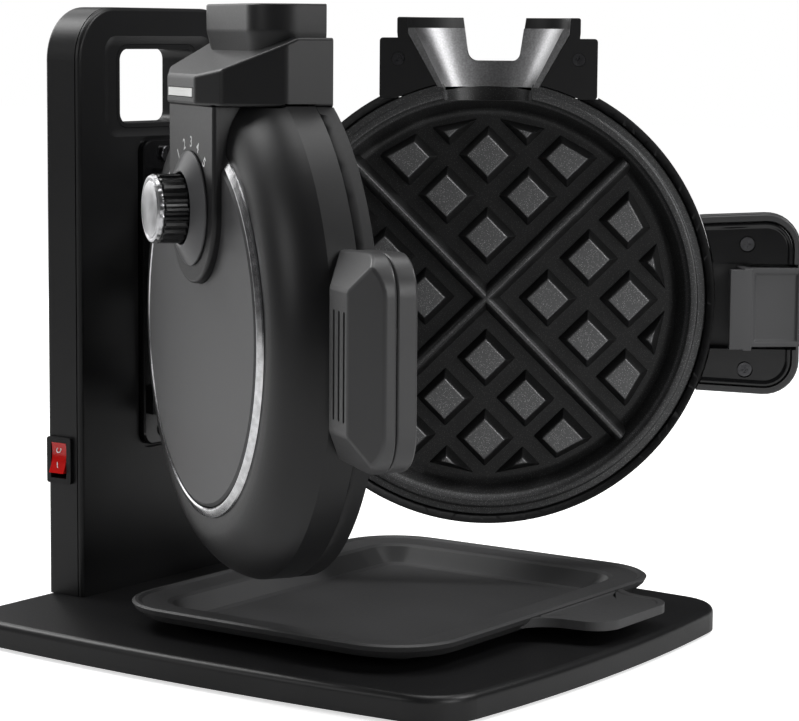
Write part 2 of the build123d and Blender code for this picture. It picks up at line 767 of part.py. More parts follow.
def reflector(with_dial):
    """Heat shield of thin aluminium on four posts, with a turned rim."""
    with BuildPart() as shield:
        add(turned([(0, 26.2), (86, 26.2), (90, 22.4), (90.8, 22.9), (86.4, 27.0), (0, 27.0)]))
        with BuildSketch(outer(20)):
            with Locations((DC, ZC + 112)):
                Rectangle(110, 62)
            with Locations((DC, ZC - 57.3)):
                Rectangle(56, 12)
            with Locations((38, ZC)):
                Rectangle(20, 96)
            with Locations(*POSTS):
                Circle(1.7)
            if with_dial:
                with Locations((DC, DIAL_Z)):
                    Rectangle(34, 30)
        extrude(amount=10, mode=Mode.SUBTRACT)
    return shield.part


def post_screws():
    """Four screws that hold the heat shield to the plate's posts."""
    with BuildPart() as screws:
        with BuildSketch(outer(27.05)):
            with Locations(*POSTS):
                Circle(3.4)
        extrude(amount=1.9)
        with BuildSketch(outer(28.0)):
            with Locations(*POSTS):
                Rectangle(3.8, 0.9)
                Rectangle(0.9, 3.8)
        extrude(amount=1.2, mode=Mode.SUBTRACT)
        with BuildSketch(outer(27.3)):
            with Locations(*POSTS):
                Circle(1.25)
        extrude(amount=-9)
    return screws.part


def trim_ring():
    """Bright ring round the face disc."""
    return turned([(74.95, 34.6), (75.8, 34.6), (75.8, 38.55), (77.0, 38.55), (76.4, 40.3), (74.95, 40.3)])


def face_disc(with_dial):
    """Raised face disc with a turned-in edge."""
    with BuildPart() as disc:
        add(
            turned(
                [
                    (0, DISC_N),
                    (72.9, DISC_N),
                    (74.2, 40.2),
                    (DISC_R, 38.6),
                    (DISC_R - 0.5, 34.2),
                    (72.6, 34.2),
                    (72.4, 38.7),
                    (0, 38.7),
                ]
            )
        )
        if with_dial:
            with BuildSketch(outer(30)):
                with Locations((DC, DIAL_Z)):
                    Circle(TONGUE_R + 0.3)
                with Locations((DC, DIAL_Z + 40)):
                    Rectangle(2 * TONGUE_R + 0.6, 80)
            extrude(amount=20, mode=Mode.SUBTRACT)
    return disc.part


def tongue_cut(solid, depth):
    """Take the dial panel's outline out of a piece, from depth outwards."""
    with BuildPart() as cutter:
        with BuildSketch(outer(depth)):
            with Locations((DC, DIAL_Z)):
                Circle(TONGUE_R + 0.3)
            with Locations((DC, DIAL_Z + 40)):
                Rectangle(2 * TONGUE_R + 0.6, 80)
        extrude(amount=30)
    return solid - cutter.part


for side in ("front", "rear"):
    dial = side == "front"
    place = FRONT_PLACE if dial else REAR_PLACE
    low, high = (104.2, 195.8) if dial else (122.4, 177.8)
    shell_part = cover(low, high)
    trim_part = trim_ring()
    if dial:
        shell_part = tongue_cut(shell_part, 30)
        trim_part = tongue_cut(trim_part, 30)
    bench = {
        "cover": shell_part,
        "frame_ring": frame_ring(),
        "waffle_plate": waffle_plate(),
        "funnel": funnel(not dial),
        "heating_element": element(),
        "heat_shield": reflector(dial),
        "shield_screws": post_screws(),
        "trim_ring": trim_part,
        "face_disc": face_disc(dial),
    }
    for name, piece in bench.items():
        shaped = piece if dial else piece.mirror(Plane.XZ)
        ship(shaped, side + "_" + name, place)


def collar(top, notched, nose):
    """Housing round the funnel: shoulders, hopper band and nose."""
    with BuildPart() as housing:
        with BuildSketch(Plane.XY.offset(ZC + 92.4)):
            with BuildLine():
                Polyline(
                    (DC - 50, -MATE),
                    (DC - 50, -20),
                    (DC - 36, -nose + 6),
                    (DC - 19, -nose),
                    (DC + 19, -nose),
                    (DC + 36, -nose + 6),
                    (DC + 50, -20),
                    (DC + 50, -MATE),
                    close=True,
                )
            make_face()
        extrude(amount=24.4)
        slope = Plane(origin=(DC, -22, ZC + 116.8), x_dir=(1, 0, 0), z_dir=(0, -0.42, 0.908))
        with BuildSketch(slope):
            Rectangle(140, 100)
        extrude(amount=30, mode=Mode.SUBTRACT)
        with BuildSketch(Plane.XY.offset(ZC + 114.0)):
            with Locations((DC, -MATE)):
                RectangleRounded(80, 54, 15)
        with BuildSketch(Plane.XY.offset(ZC + 126.0)):
            with Locations((DC, -MATE)):
                RectangleRounded(84, 66, 18)
        loft()
        with BuildSketch(Plane.XY.offset(ZC + 126.0)):
            with Locations((DC, -MATE)):
                RectangleRounded(84, 66, 18)
        extrude(amount=top - 126.0)
        with Locations((DC, 60 - MATE, ZC + 110)):
            Box(300, 120, 90, mode=Mode.SUBTRACT)
        with BuildSketch(Plane(origin=(DC, 0, 0), x_dir=(1, 0, 0), z_dir=(0, -1, 0))):
            with BuildLine():
                Polyline(
                    (0, ZC + 98.6),
                    (23.4, ZC + 98.6),
                    (36.9, ZC + 121.6),
                    (36.9, ZC + 126),
                    (37.9, ZC + 140),
                    (0, ZC + 140),
                    close=True,
                )
            make_face()
        revolve(axis=Axis((DC, 0, 0), (0, 0, 1)), mode=Mode.SUBTRACT)
        with BuildSketch(Plane.XY.offset(ZC + 80)):
            with Locations((DC, 0)):
                Circle(19.6)
        extrude(amount=30, mode=Mode.SUBTRACT)
        with BuildSketch(Plane.XY.offset(ZC + 92)):
            with Locations((DC - 36, -22), (DC + 36, -22)):
                Rectangle(18, 22)
            with Locations((DC, -(nose + 25.5) / 2)):
                Rectangle(30, nose - 30)
        extrude(amount=8, mode=Mode.SUBTRACT)
        add(disc_at(106.2, -1, 20.2), mode=Mode.SUBTRACT)
        add(disc_at(98.6, 19, 38.7), mode=Mode.SUBTRACT)
        if notched:
            with BuildSketch(outer(1)):
                with BuildLine():
                    Polyline(
                        (DC - 9, ZC + 109.6),
                        (DC + 12, ZC + 109.6),
                        (DC + 15, ZC + 140),
                        (DC - 12, ZC + 140),
                        close=True,
                    )
                make_face()
            extrude(amount=60, mode=Mode.SUBTRACT)
        with BuildSketch(outer(-1)):
            with Locations((DC - 41.4, ZC + 110.4), (DC + 41.4, ZC + 110.4)):
                Circle(1.3)
        extrude(amount=9.2, mode=Mode.SUBTRACT)
        with BuildSketch(outer(-1)):
            with Locations((DC - 41.4, ZC + 110.4), (DC + 41.4, ZC + 110.4)):
                Circle(3.1)
        extrude(amount=3.4, mode=Mode.SUBTRACT)
    return housing.part


with BuildPart() as front_collar:
    add(collar(133.5, False, 48.6))
    with BuildSketch(outer(46)):
        with Locations((DC, ZC + 97.6)):
            Rectangle(33.4, 3.8)
    extrude(amount=10, mode=Mode.SUBTRACT)
ship(front_collar.part, "front_collar", FRONT_PLACE)
ship(collar(129.4, True, 42.0).mirror(Plane.XZ), "rear_collar", REAR_PLACE)

with BuildPart() as window:
    with BuildSketch(outer(46.1)):
        with Locations((DC, ZC + 97.6)):
            Rectangle(33.0, 3.4)
    extrude(amount=2.7)
ship(window.part, "indicator_window", FRONT_PLACE)


# Dial panel, its bezel, the knob and the thermostat behind them.
with BuildPart() as dial_panel:
    with BuildSketch(outer(30.4)):
        with Locations((DC, DIAL_Z)):
            Circle(TONGUE_R)
        with Locations((DC, DIAL_Z + 21.1)):
            Rectangle(2 * TONGUE_R, 42.2)
    extrude(amount=DIAL_PLANE - 30.4)
    edge_loop = dial_panel.faces().sort_by(Axis.Y)[0].edges()
    fillet(edge_loop.filter_by(lambda e: e.center().Z < DIAL_Z + 41), radius=1.6)
    with BuildSketch(outer(30.3)):
        with Locations((DC, DIAL_Z)):
            Circle(TONGUE_R - 2.2)
        with Locations((DC, DIAL_Z + 20)):
            Rectangle(2 * TONGUE_R - 4.4, 40)
    extrude(amount=DIAL_PLANE - 30.3 - 2.2, mode=Mode.SUBTRACT)
    with BuildSketch(outer(30)):
        with Locations((DC, DIAL_Z)):
            Circle(5.0)
    extrude(amount=20, mode=Mode.SUBTRACT)
    with BuildSketch(outer(30)):
        with Locations((DC, ZC + 116)):
            Rectangle(101, 47.4)
    extrude(amount=8.4, mode=Mode.SUBTRACT)
ship(dial_panel.part, "dial_panel", FRONT_PLACE)

with BuildPart() as dial_bezel:
    with BuildSketch(outer(DIAL_PLANE + 0.05)):
        with Locations((DC, DIAL_Z)):
            Circle(23.5)
    extrude(amount=4.6, taper=38)
    with BuildSketch(outer(DIAL_PLANE - 1)):
        with Locations((DC, DIAL_Z)):
            Circle(14.9)
    extrude(amount=10, mode=Mode.SUBTRACT)
ship(dial_bezel.part, "dial_bezel", FRONT_PLACE)

with BuildPart() as knob:
    with BuildSketch(outer(DIAL_PLANE + 1.0)):
        with Locations((DC, DIAL_Z)):
            Circle(14.3)
    extrude(amount=14.6, taper=3)
    with BuildSketch(outer(DIAL_PLANE + 0.9)):
        with Locations((DC, DIAL_Z)):
            with PolarLocations(14.6, 24):
                Circle(0.85)
    extrude(amount=13.4, mode=Mode.SUBTRACT)
    with BuildSketch(outer(DIAL_PLANE + 0.9)):
        with Locations((DC, DIAL_Z)):
            Circle(11.4)
            Circle(4.6, mode=Mode.SUBTRACT)
    extrude(amount=11.5, mode=Mode.SUBTRACT)
    with BuildSketch(outer(DIAL_PLANE + 0.9)):
        with Locations((DC, DIAL_Z)):
            Circle(3.0)
    extrude(amount=10.5, mode=Mode.SUBTRACT)
ship(knob.part, "thermostat_knob", FRONT_PLACE)

with BuildPart() as knob_cap:
    with BuildSketch(outer(DIAL_PLANE + 15.65)):
        with Locations((DC, DIAL_Z)):
            Circle(12.8)
    extrude(amount=2.2)
    cap_edge = knob_cap.faces().sort_by(Axis.Y)[0].edges()
    fillet(cap_edge, radius=0.9)
    with BuildSketch(outer(DIAL_PLANE + 17.2)):
        with Locations((DC, DIAL_Z + 8.0)):
            Rectangle(1.6, 6.4)
    extrude(amount=2, mode=Mode.SUBTRACT)
ship(knob_cap.part, "knob_cap", FRONT_PLACE)

with BuildPart() as thermostat_shaft:
    with BuildSketch(outer(27.4)):
        with Locations((DC, DIAL_Z)):
            Circle(2.98)
    extrude(amount=DIAL_PLANE + 11.2 - 27.4)
ship(thermostat_shaft.part, "thermostat_shaft", FRONT_PLACE)

with BuildPart() as thermostat:
    with BuildSketch(outer(18.2)):
        with Locations((DC, DIAL_Z)):
            RectangleRounded(22, 15, 3)
    extrude(amount=9.0)
    with BuildSketch(outer(27.1)):
        with Locations((DC, DIAL_Z)):
            Circle(8)
            Circle(3.04, mode=Mode.SUBTRACT)
    extrude(amount=6.0)
    with BuildSketch(outer(14.05)):
        with Locations((DC, DIAL_Z)):
            Circle(5.5)
    extrude(amount=4.3)
    with BuildSketch(outer(22)):
        with Locations((DC - 14, DIAL_Z), (DC + 14, DIAL_Z)):
            Rectangle(8, 5)
    extrude(amount=1.0)
ship(thermostat.part, "thermostat", FRONT_PLACE)

with BuildPart() as lamps:
    with BuildSketch(outer(38.9)):
        with Locations((DC - 9, ZC + 97.6), (DC + 9, ZC + 97.6)):
            Circle(1.7)
    extrude(amount=7.0)
ship(lamps.part, "indicator_lamps", FRONT_PLACE)

with BuildPart() as cutout:
    with BuildSketch(outer(14.05)):
        with Locations((DC, ZC + 12)):
            Rectangle(8, 24)
    extrude(amount=1.6)
    with BuildSketch(outer(15.6)):
        with Locations((DC, ZC + 12)):
            Circle(7.5)
    extrude(amount=7.5)
ship(cutout.part.mirror(Plane.XZ), "thermal_cutout", REAR_PLACE)

# Handles. Each is a grip shell with an inner cover, cut to the round rim.
GRIP_OUT = 24.0
GRIP_LINE = 9.0
GRIP_SCREWS = [(DC + 120, ZC + 27), (DC + 120, ZC - 31)]


def grip_outline(shrink):
    """Handle outline for a bench plane, open towards the round rim."""
    with BuildSketch() as outline:
        with BuildLine():
            Polyline(
                (DC + 88, ZC - 41 + shrink),
                (DC + 126, ZC - 43.5 + shrink),
                (DC + 145 - shrink, ZC - 27),
                (DC + 144.6 - shrink, ZC + 24),
                (DC + 128, ZC + 42 - shrink),
                (DC + 88, ZC + 39.5 - shrink),
                close=True,
            )
        make_face()
        corner = outline.vertices().sort_by(Axis.X)[-4:]
        fillet(corner, radius=5.0)
    return outline.sketch


def grip(grooved):
    """Outer grip with a hollow behind it and, if grooved, three finger lines."""
    with BuildPart() as handle:
        with BuildSketch(outer(GRIP_LINE)):
            add(grip_outline(0))
        extrude(amount=GRIP_OUT - GRIP_LINE, taper=9)
        with BuildSketch(outer(GRIP_LINE - 1)):
            add(grip_outline(3.6))
        extrude(amount=GRIP_OUT - GRIP_LINE - 3.0, taper=9, mode=Mode.SUBTRACT)
        with BuildSketch(outer(GRIP_LINE)):
            with Locations(*GRIP_SCREWS):
                Circle(3.6)
        extrude(amount=GRIP_OUT - GRIP_LINE - 2.0)
        with BuildSketch(outer(GRIP_LINE - 1)):
            with Locations(*GRIP_SCREWS):
                Circle(1.3)
        extrude(amount=11, mode=Mode.SUBTRACT)
        if grooved:
            with BuildSketch(outer(GRIP_OUT - 0.9)):
                with Locations((DC + 120, ZC - 2), (DC + 125.5, ZC - 2), (DC + 131, ZC - 2)):
                    SlotOverall(42, 2.0, rotation=90)
            extrude(amount=4, mode=Mode.SUBTRACT)
        add(disc_at(RIM_R + 0.25, -1, 40), mode=Mode.SUBTRACT)
    return handle.part


ship(grip(True), "front_grip", FRONT_PLACE)
ship(grip(True).mirror(Plane.XZ), "rear_grip", REAR_PLACE)

LATCH_Z0 = ZC - 20.0
LATCH_Z1 = ZC + 16.5
LATCH_PIVOT = (DC + 127.0, 11.0)
COLLAR_SCREWS = [(DC - 41.4, ZC + 110.4), (DC + 41.4, ZC + 110.4)]


def grip_inner():
    """Inner cover of a grip, with the window that the latch works in."""
    with BuildPart() as inner:
        with BuildSketch(outer(0.6)):
            add(grip_outline(0.6))
        extrude(amount=GRIP_LINE - 0.7)
        mating = inner.faces().sort_by(Axis.Y)[-1].edges()
        chamfer(mating.filter_by(lambda e: e.center().X > DC + 100), length=0.8)
        with BuildSketch(outer(0)):
            with Locations((DC + 131.25, (LATCH_Z0 + LATCH_Z1) / 2)):
                Rectangle(41.5, LATCH_Z1 - LATCH_Z0 + 3)
        extrude(amount=20, mode=Mode.SUBTRACT)
        with BuildSketch(outer(0)):
            with Locations(*GRIP_SCREWS):
                Circle(1.7)
        extrude(amount=20, mode=Mode.SUBTRACT)
        with BuildSketch(outer(0)):
            with Locations(*GRIP_SCREWS):
                Circle(3.8)
        extrude(amount=3.65, mode=Mode.SUBTRACT)
        add(disc_at(RIM_R + 0.25, -1, 40), mode=Mode.SUBTRACT)
    return inner.part


ship(grip_inner(), "front_grip_inner", FRONT_PLACE)

with BuildPart() as rear_inner:
    add(grip_inner())
    with BuildSketch(Plane.XY.offset(LATCH_Z0 - 5.3)):
        with Locations((LATCH_PIVOT[0], -11.2)):
            Rectangle(9, 7)
    extrude(amount=3.4)
    with BuildSketch(Plane.XY.offset(LATCH_Z1 + 1.9)):
        with Locations((LATCH_PIVOT[0], -11.2)):
            Rectangle(9, 7)
    extrude(amount=3.4)
    with Locations((LATCH_PIVOT[0], -LATCH_PIVOT[1], ZC)):
        Cylinder(1.51, 80, mode=Mode.SUBTRACT)
ship(rear_inner.part.mirror(Plane.XZ), "rear_grip_inner", REAR_PLACE)


def mating_screws():
    """Screws seen on the mating face: two in the collar, two in the grip."""
    with BuildPart() as screws:
        with BuildSketch(outer(0.75)):
            with Locations(*COLLAR_SCREWS):
                Circle(2.9)
        extrude(amount=1.6)
        with BuildSketch(outer(2.0)):
            with Locations(*COLLAR_SCREWS):
                Circle(1.25)
        extrude(amount=6.0)
        with BuildSketch(outer(1.7)):
            with Locations(*GRIP_SCREWS):
                Circle(3.2)
        extrude(amount=1.9)
        with BuildSketch(outer(3.0)):
            with Locations(*GRIP_SCREWS):
                Circle(1.25)
        extrude(amount=12.5)
        with BuildSketch(outer(0)):
            with Locations(*COLLAR_SCREWS, *GRIP_SCREWS):
                Rectangle(3.4, 0.8)
                Rectangle(0.8, 3.4)
        extrude(amount=1.5, mode=Mode.SUBTRACT)
        with BuildSketch(outer(0)):
            with Locations(*GRIP_SCREWS):
                Rectangle(3.4, 0.8)
                Rectangle(0.8, 3.4)
        extrude(amount=2.6, mode=Mode.SUBTRACT)
    return screws.part


ship(mating_screws(), "front_mating_screws", FRONT_PLACE)
ship(mating_screws().mirror(Plane.XZ), "rear_mating_screws", REAR_PLACE)

# Latch clip of the rear half. It is drawn let go: turned back about its pin.
LATCH_BACK = -10.0
with BuildPart() as latch:
    with BuildSketch(Plane.XY.offset(LATCH_Z0)):
        with BuildLine():
            Polyline(
                (DC + 107.5, 9.6),
                (DC + 117.4, 12.0),
                (DC + 117.8, 2.6),
                (DC + 141.5, 2.6),
                (DC + 142.8, 1.2),
                (DC + 142.8, -4.6),
                (DC + 130.8, -6.2),
                (DC + 130.8, -11.0),
                (DC + 123.2, -11.0),
                (DC + 122.4, -6.2),
                (DC + 114.2, -4.0),
                (DC + 114.2, 9.6),
                close=True,
            )
        make_face()
        with Locations((LATCH_PIVOT[0], -LATCH_PIVOT[1])):
            Circle(3.8)
    extrude(amount=LATCH_Z1 - LATCH_Z0)
    with BuildSketch(outer(-4)):
        with Locations((DC + 131, ZC - 1.75)):
            Rectangle(17, 24)
    extrude(amount=3.0, mode=Mode.SUBTRACT)
    with Locations((LATCH_PIVOT[0], -LATCH_PIVOT[1], ZC)):
        Cylinder(1.5 + RUN_FIT, 80, mode=Mode.SUBTRACT)
swing = Axis((LATCH_PIVOT[0], -LATCH_PIVOT[1], 0), (0, 0, 1))
ship(latch.part.rotate(swing, LATCH_BACK).mirror(Plane.XZ), "latch_clip", REAR_PLACE)

with BuildPart() as latch_pin:
    with Locations((LATCH_PIVOT[0], -LATCH_PIVOT[1], LATCH_Z0 - 5.1)):
        Cylinder(1.5, LATCH_Z1 - LATCH_Z0 + 10.2, align=(Align.CENTER, Align.CENTER, Align.MIN))
ship(latch_pin.part.mirror(Plane.XZ), "latch_pin", REAR_PLACE)

# Drip tray: wide rim, rounded well and a handle tab at the front.
TRAY_X = 8.0
TRAY_Y = -16.0
TRAY_W = 212.0
TRAY_D = 168.0
TRAY_TOP = 24.0
TRAY_LOW = 12.05


def tray_outline(grow, radius, bow):
    """Rounded square with slightly bowed sides, centred on the tray."""
    w = TRAY_W / 2 + grow
    d = TRAY_D / 2 + grow
    with BuildSketch() as outline:
        with BuildLine():
            ThreePointArc((-w + bow, -d + bow), (-w, 0), (-w + bow, d - bow))
            ThreePointArc((-w + bow, d - bow), (0, d), (w - bow, d - bow))
            ThreePointArc((w - bow, d - bow), (w, 0), (w - bow, -d + bow))
            ThreePointArc((w - bow, -d + bow), (0, -d), (-w + bow, -d + bow))
        make_face()
        fillet(outline.vertices(), radius=radius)
    return outline.sketch.moved(Location((TRAY_X, TRAY_Y, 0)))


with BuildPart() as tray:
    with BuildSketch(Plane.XY.offset(TRAY_TOP - 6.5)):
        add(tray_outline(0, 34, 5))
    extrude(amount=6.5)
    rim_edges = tray.faces().sort_by(Axis.Z)[-1].edges()
    fillet(rim_edges, radius=1.4)
    with BuildSketch(Plane.XY.offset(TRAY_TOP - 7.5)):
        add(tray_outline(-2.0, 32, 5))
    extrude(amount=5.3, mode=Mode.SUBTRACT)
    with BuildSketch(Plane.XY.offset(TRAY_LOW)):
        add(tray_outline(-24, 22, 4))
    with BuildSketch(Plane.XY.offset(TRAY_TOP - 1.2)):
        add(tray_outline(-18, 26, 4))
    loft()
    with BuildSketch(Plane.XY.offset(TRAY_LOW + 2.2)):
        add(tray_outline(-26.2, 20, 4))
    with BuildSketch(Plane.XY.offset(TRAY_TOP + 0.2)):
        add(tray_outline(-19.6, 25, 4))
    loft(mode=Mode.SUBTRACT)
    with BuildSketch(Plane.XY.offset(TRAY_TOP - 3.4)):
        with BuildLine():
            Polyline(
                (TRAY_X - 33, TRAY_Y - 76),
                (TRAY_X - 27, TRAY_Y - 104),
                (TRAY_X - 20, TRAY_Y - 117),
                (TRAY_X + 20, TRAY_Y - 117),
                (TRAY_X + 27, TRAY_Y - 104),
                (TRAY_X + 33, TRAY_Y - 76),
                close=True,
            )
        make_face()
    extrude(amount=3.0)
ship(tray.part, "drip_tray")
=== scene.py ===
import math
import bpy
import bmesh
from mathutils import Matrix, Vector


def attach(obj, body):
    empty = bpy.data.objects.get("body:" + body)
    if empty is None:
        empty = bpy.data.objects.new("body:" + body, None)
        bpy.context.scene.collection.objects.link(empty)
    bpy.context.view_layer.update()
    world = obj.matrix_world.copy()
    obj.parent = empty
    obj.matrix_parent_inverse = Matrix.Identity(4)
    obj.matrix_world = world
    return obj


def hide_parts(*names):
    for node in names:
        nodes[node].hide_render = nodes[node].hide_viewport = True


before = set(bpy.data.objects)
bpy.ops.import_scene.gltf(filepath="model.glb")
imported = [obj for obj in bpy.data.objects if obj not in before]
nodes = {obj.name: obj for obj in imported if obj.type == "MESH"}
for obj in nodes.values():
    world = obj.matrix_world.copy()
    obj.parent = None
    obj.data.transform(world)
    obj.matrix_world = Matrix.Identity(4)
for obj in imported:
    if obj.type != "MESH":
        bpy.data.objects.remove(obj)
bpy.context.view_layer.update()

MM = 0.001


# The foot: one moulded black ABS cover with a soft top edge, closed below by
# a flat bottom plate, and standing on four rubber feet held by screws.
def moulded_plastic(name, colour, roughness, grain_scale, grain_depth, specular=0.35):
    """Moulded plastic: even colour, faint mottling and a fine eroded grain."""
    mat = bpy.data.materials.new(name)
    mat.use_nodes = True
    tree = mat.node_tree
    shader = tree.nodes["Principled BSDF"]
    shader.inputs["Specular IOR Level"].default_value = specular
    coords = tree.nodes.new("ShaderNodeTexCoord")
    grain = tree.nodes.new("ShaderNodeTexNoise")
    grain.inputs["Scale"].default_value = grain_scale
    grain.inputs["Detail"].default_value = 4.0
    grain.inputs["Roughness"].default_value = 0.6
    tree.links.new(coords.outputs["Object"], grain.inputs["Vector"])
    mottle = tree.nodes.new("ShaderNodeTexNoise")
    mottle.inputs["Scale"].default_value = 14.0
    mottle.inputs["Detail"].default_value = 3.0
    tree.links.new(coords.outputs["Object"], mottle.inputs["Vector"])
    tint = tree.nodes.new("ShaderNodeValToRGB")
    tint.color_ramp.elements[0].position = 0.35
    tint.color_ramp.elements[0].color = (colour[0] * 0.86, colour[1] * 0.86, colour[2] * 0.86, 1)
    tint.color_ramp.elements[1].position = 0.7
    tint.color_ramp.elements[1].color = (colour[0] * 1.12, colour[1] * 1.12, colour[2] * 1.12, 1)
    tree.links.new(mottle.outputs["Fac"], tint.inputs["Fac"])
    tree.links.new(tint.outputs["Color"], shader.inputs["Base Color"])
    rough = tree.nodes.new("ShaderNodeMapRange")
    rough.inputs["To Min"].default_value = roughness - 0.05
    rough.inputs["To Max"].default_value = roughness + 0.06
    tree.links.new(grain.outputs["Fac"], rough.inputs["Value"])
    tree.links.new(rough.outputs["Result"], shader.inputs["Roughness"])
    bump = tree.nodes.new("ShaderNodeBump")
    bump.inputs["Strength"].default_value = 0.5
    bump.inputs["Distance"].default_value = grain_depth
    tree.links.new(grain.outputs["Fac"], bump.inputs["Height"])
    tree.links.new(bump.outputs["Normal"], shader.inputs["Normal"])
    return mat


def finish_node(material, *names):
    """Give CAD nodes their finish."""
    for name in names:
        for place in nodes[name].material_slots:
            place.material = material


satin_black = moulded_plastic("satin_black_abs", (0.0085, 0.0085, 0.0090), 0.38, 900.0, 0.00004)
matte_black = moulded_plastic("matte_black_nylon", (0.0070, 0.0070, 0.0075), 0.52, 700.0, 0.00006)
black_rubber = moulded_plastic("black_rubber", (0.012, 0.012, 0.012), 0.75, 500.0, 0.0001, 0.3)
finish_node(satin_black, "base_cover")
finish_node(matte_black, "base_bottom")
finish_node(black_rubber, "rubber_feet", "cord_inlet_gland")


# The tower: two ABS shells screwed together from behind. The front shell has
# a soft dish round the carrying handle and a shallow seat for the hinge plate.
def clear_selection():
    """Leave edit mode and deselect everything."""
    if bpy.context.object and bpy.context.object.mode != "OBJECT":
        bpy.ops.object.mode_set(mode="OBJECT")
    bpy.ops.object.select_all(action="DESELECT")


def take(obj):
    """Make one piece the only selected and active one."""
    clear_selection()
    obj.select_set(True)
    bpy.context.view_layer.objects.active = obj


def named(name):
    """Name the primitive just added and put its place into its mesh."""
    obj = bpy.context.object
    obj.name = name
    obj.data.name = name
    bpy.ops.object.transform_apply(location=True, rotation=True, scale=True)
    return obj


def block(name, low, high):
    """A block between two corners given in millimetres."""
    clear_selection()
    middle = [(a + b) / 2 * MM for a, b in zip(low, high)]
    size = [(b - a) * MM for a, b in zip(low, high)]
    bpy.ops.mesh.primitive_cube_add(size=1, location=middle, scale=size)
    return named(name)


def open_edit(obj, kind, test):
    """Enter edit mode with the parts selected whose middle (mm) and way pass the test."""
    take(obj)
    bpy.ops.object.mode_set(mode="EDIT")
    bpy.ops.mesh.select_mode(type=kind)
    bpy.ops.mesh.select_all(action="DESELECT")
    shape = bmesh.from_edit_mesh(obj.data)
    for item in {"VERT": shape.verts, "EDGE": shape.edges, "FACE": shape.faces}[kind]:
        if kind == "VERT":
            middle, way = item.co, item.normal
        elif kind == "EDGE":
            middle = (item.verts[0].co + item.verts[1].co) / 2
            way = (item.verts[1].co - item.verts[0].co).normalized()
        else:
            middle, way = item.calc_center_median(), item.normal
        if test(middle / MM, way):
            item.select_set(True)
    shape.select_flush_mode()
    bmesh.update_edit_mesh(obj.data)


def close_edit():
    """Back to object mode."""
    bpy.ops.object.mode_set(mode="OBJECT")


def round_edges(obj, test, radius, steps):
    """Round the chosen edges."""
    open_edit(obj, "EDGE", test)
    bpy.ops.mesh.bevel(offset=radius * MM, segments=steps, affect="EDGES")
    close_edit()


def slice_off(obj, point, way):
    """Cut a piece by a plane and drop what lies on the side that way points to."""
    open_edit(obj, "FACE", lambda p, w: True)
    place = [c * MM for c in point]
    bpy.ops.mesh.bisect(plane_co=place, plane_no=Vector(way).normalized(), use_fill=True, clear_outer=True)
    close_edit()


def modify(obj, kind, **settings):
    """Add a modifier and apply it."""
    take(obj)
    change = obj.modifiers.new(kind.lower(), kind)
    for key, value in settings.items():
        setattr(change, key, value)
    bpy.ops.object.modifier_apply(modifier=change.name)


def soften(obj, radius, steps=3, degrees=28):
    """Round every edge sharper than the given angle."""
    modify(
        obj, "BEVEL", width=radius * MM, segments=steps,
        limit_method="ANGLE", angle_limit=math.radians(degrees),
    )


def carve(obj, cutter, operation="DIFFERENCE"):
    """Cut one piece with another, or join them, and remove the second."""
    modify(obj, "BOOLEAN", object=cutter, operation=operation, solver="EXACT")
    bpy.data.objects.remove(cutter, do_unlink=True)


def dress(obj, material, body, replaced=(), degrees=32):
    """Shade a finished piece, give it its material and tie it to its body."""
    take(obj)
    bpy.ops.object.shade_smooth_by_angle(angle=math.radians(degrees))
    modify(obj, "WEIGHTED_NORMAL", keep_sharp=True)
    obj.data.materials.clear()
    obj.data.materials.append(material)
    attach(obj, body)
    if replaced:
        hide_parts(*replaced)


TOWER_X = 5.99
TOWER_FACE = 119.55
TOWER_JOINT = 122.15
TOWER_HALF = 56.0
TOWER_FOOT = 12.05
TOWER_TOP = 282.0
skin = block(
    "tower_front_skin",
    (TOWER_X - TOWER_HALF, TOWER_FACE, TOWER_FOOT),
    (TOWER_X + TOWER_HALF, TOWER_JOINT, TOWER_TOP),
)
round_edges(skin, lambda p, w: abs(w.y) > 0.9 and p.z > 200, 24, 14)
round_edges(skin, lambda p, w: p.y < TOWER_FACE + 0.1 and p.z > TOWER_FOOT + 1, 1.8, 4)
dish = block("dish", (TOWER_X - 45, TOWER_FACE - 60, 217), (TOWER_X + 45, TOWER_FACE + 1.25, 275))
round_edges(dish, lambda p, w: abs(w.y) > 0.9, 14, 10)
round_edges(dish, lambda p, w: p.y > TOWER_FACE, 11, 10)
carve(skin, dish)
hand_hole = block(
    "hand_hole",
    (TOWER_X - 29.2, TOWER_FACE - 9, 226.8),
    (TOWER_X + 29.2, TOWER_JOINT + 9, 265.2),
)
round_edges(hand_hole, lambda p, w: abs(w.y) > 0.9, 7.1, 8)
carve(skin, hand_hole)
seat = block("seat", (TOWER_X - 16, TOWER_FACE - 9, 76.3), (TOWER_X + 16, TOWER_FACE + 1.4, 222.7))
round_edges(seat, lambda p, w: abs(w.y) > 0.9, 7.5, 8)
carve(skin, seat)
dress(skin, satin_black, "stand", ["tower_front_shell"])
finish_node(satin_black, "tower_rear_shell")


